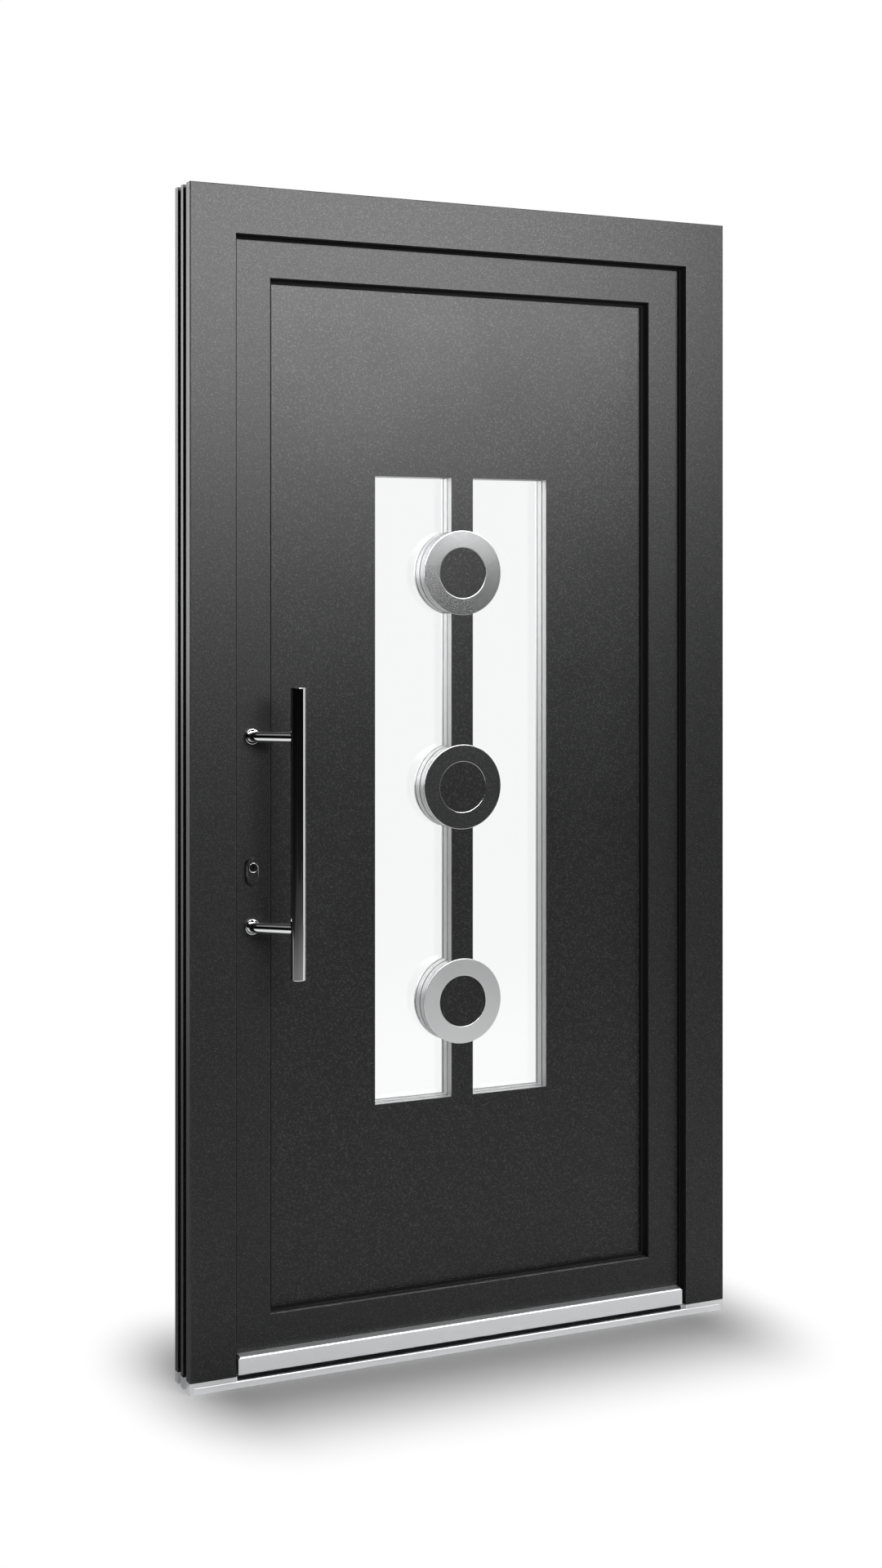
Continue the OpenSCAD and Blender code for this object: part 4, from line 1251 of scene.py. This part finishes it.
        # These sheets' tones are painted reflections: on the walls dark low down and grey higher up, on the floor
        # lighter near the door and darker further out, grey behind and above.
        wall = ((0.0, 0.3, 0.018, 0.008), (0.3, 1.0, 0.0, -0.006), (2.2, 7.0, 0.0, 0.3))
        side = (*wall[:2], (4.8, 6.5, 0.0, 0.3))
        self.reflection_flag("flag_front", self.upright((-0.5, -6.8, 4.5), 0), (9.8, 9.0), Along.HEIGHT, wall)
        self.reflection_flag("flag_left", self.upright((-5.4, -1.5, 4.5), -90), (10.6, 9.0), Along.HEIGHT, side)
        self.reflection_flag("flag_right", self.upright((4.4, -4.8, 4.5), 90), (4.0, 9.0), Along.HEIGHT, wall)
        near = ((2.4, 4.0, 0.66, 0.0), (3.0, 5.6, 0.4, 0.065), (5.6, 8.0, 0.0, -0.048))
        self.reflection_flag("flag_floor", Matrix.Translation((-0.5, -4.6, 0.001)), (9.8, 4.4), Along.OUTWARD, near)
        self.reflection_flag("flag_side", Matrix.Translation((-3.2, -1.2, 0.001)), (4.4, 2.4), Along.OUTWARD, near)
        self.reflection_flag("flag_behind", Matrix.Translation((-2.9, 1.9, 0.001)), (5.0, 3.8), Along.DEPTH,
                  ((0.0, 3.8, 0.3, 0.4),))
        self.reflection_flag("flag_above", Matrix.Translation((-0.5, -1.5, 9.0)), (9.8, 10.6), Along.DEPTH,
                  ((-6.8, 3.8, 0.3, 0.4),))
        self.lamp("front_box", (0.75, -3.1, 2.7), (0.45, 0, 1.765), (3.1, 1.5), 216)
        self.lamp("back_box", (-1.75, 2.6, 2.15), (-0.3, 0, 1.3), (1.9, 2.2), 34)


@dataclass
class PhotoCamera:
    """Camera that stands where the photograph was taken."""

    place: tuple[float, float, float] = (-1.7759, -3.6546, 1.3778)
    turn: float = -25.363
    lens: float = 50.685
    shift_y: float = -0.1206

    def build(self) -> None:
        """Makes the camera and sets it."""
        data = bpy.data.cameras.new("camera")
        data.lens, data.sensor_width, data.sensor_fit = self.lens, 36.0, "AUTO"
        data.shift_y = self.shift_y
        data.clip_start, data.clip_end = 0.05, 100.0
        camera = bpy.data.objects.new("camera", data)
        bpy.context.scene.collection.objects.link(camera)
        camera.location = self.place
        camera.rotation_euler = (math.radians(90), 0.0, math.radians(self.turn))
        bpy.context.scene.camera = camera


def main() -> None:
    """Loads the frame, builds each sub-assembly in order and reports it."""
    logging.basicConfig(level=logging.INFO, format="%(name)s: %(message)s")
    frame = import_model()
    nodes, finishes = frame["nodes"], Finishes()
    PhotoCamera().build()
    parts = [FixedFrame(nodes, finishes), Leaf(nodes, finishes), WindowPanel(nodes, finishes),
             DiscSet(nodes, finishes), PullHandle(finishes), LockSet(nodes, finishes)]
    for part in parts:
        if hasattr(part, "dress"):
            part.dress()
        made = part.build() if hasattr(part, "build") else []
        log.info("%s: %d new pieces", type(part).__name__, len(made))
    Studio().build()


if __name__ == "__main__":
    main()
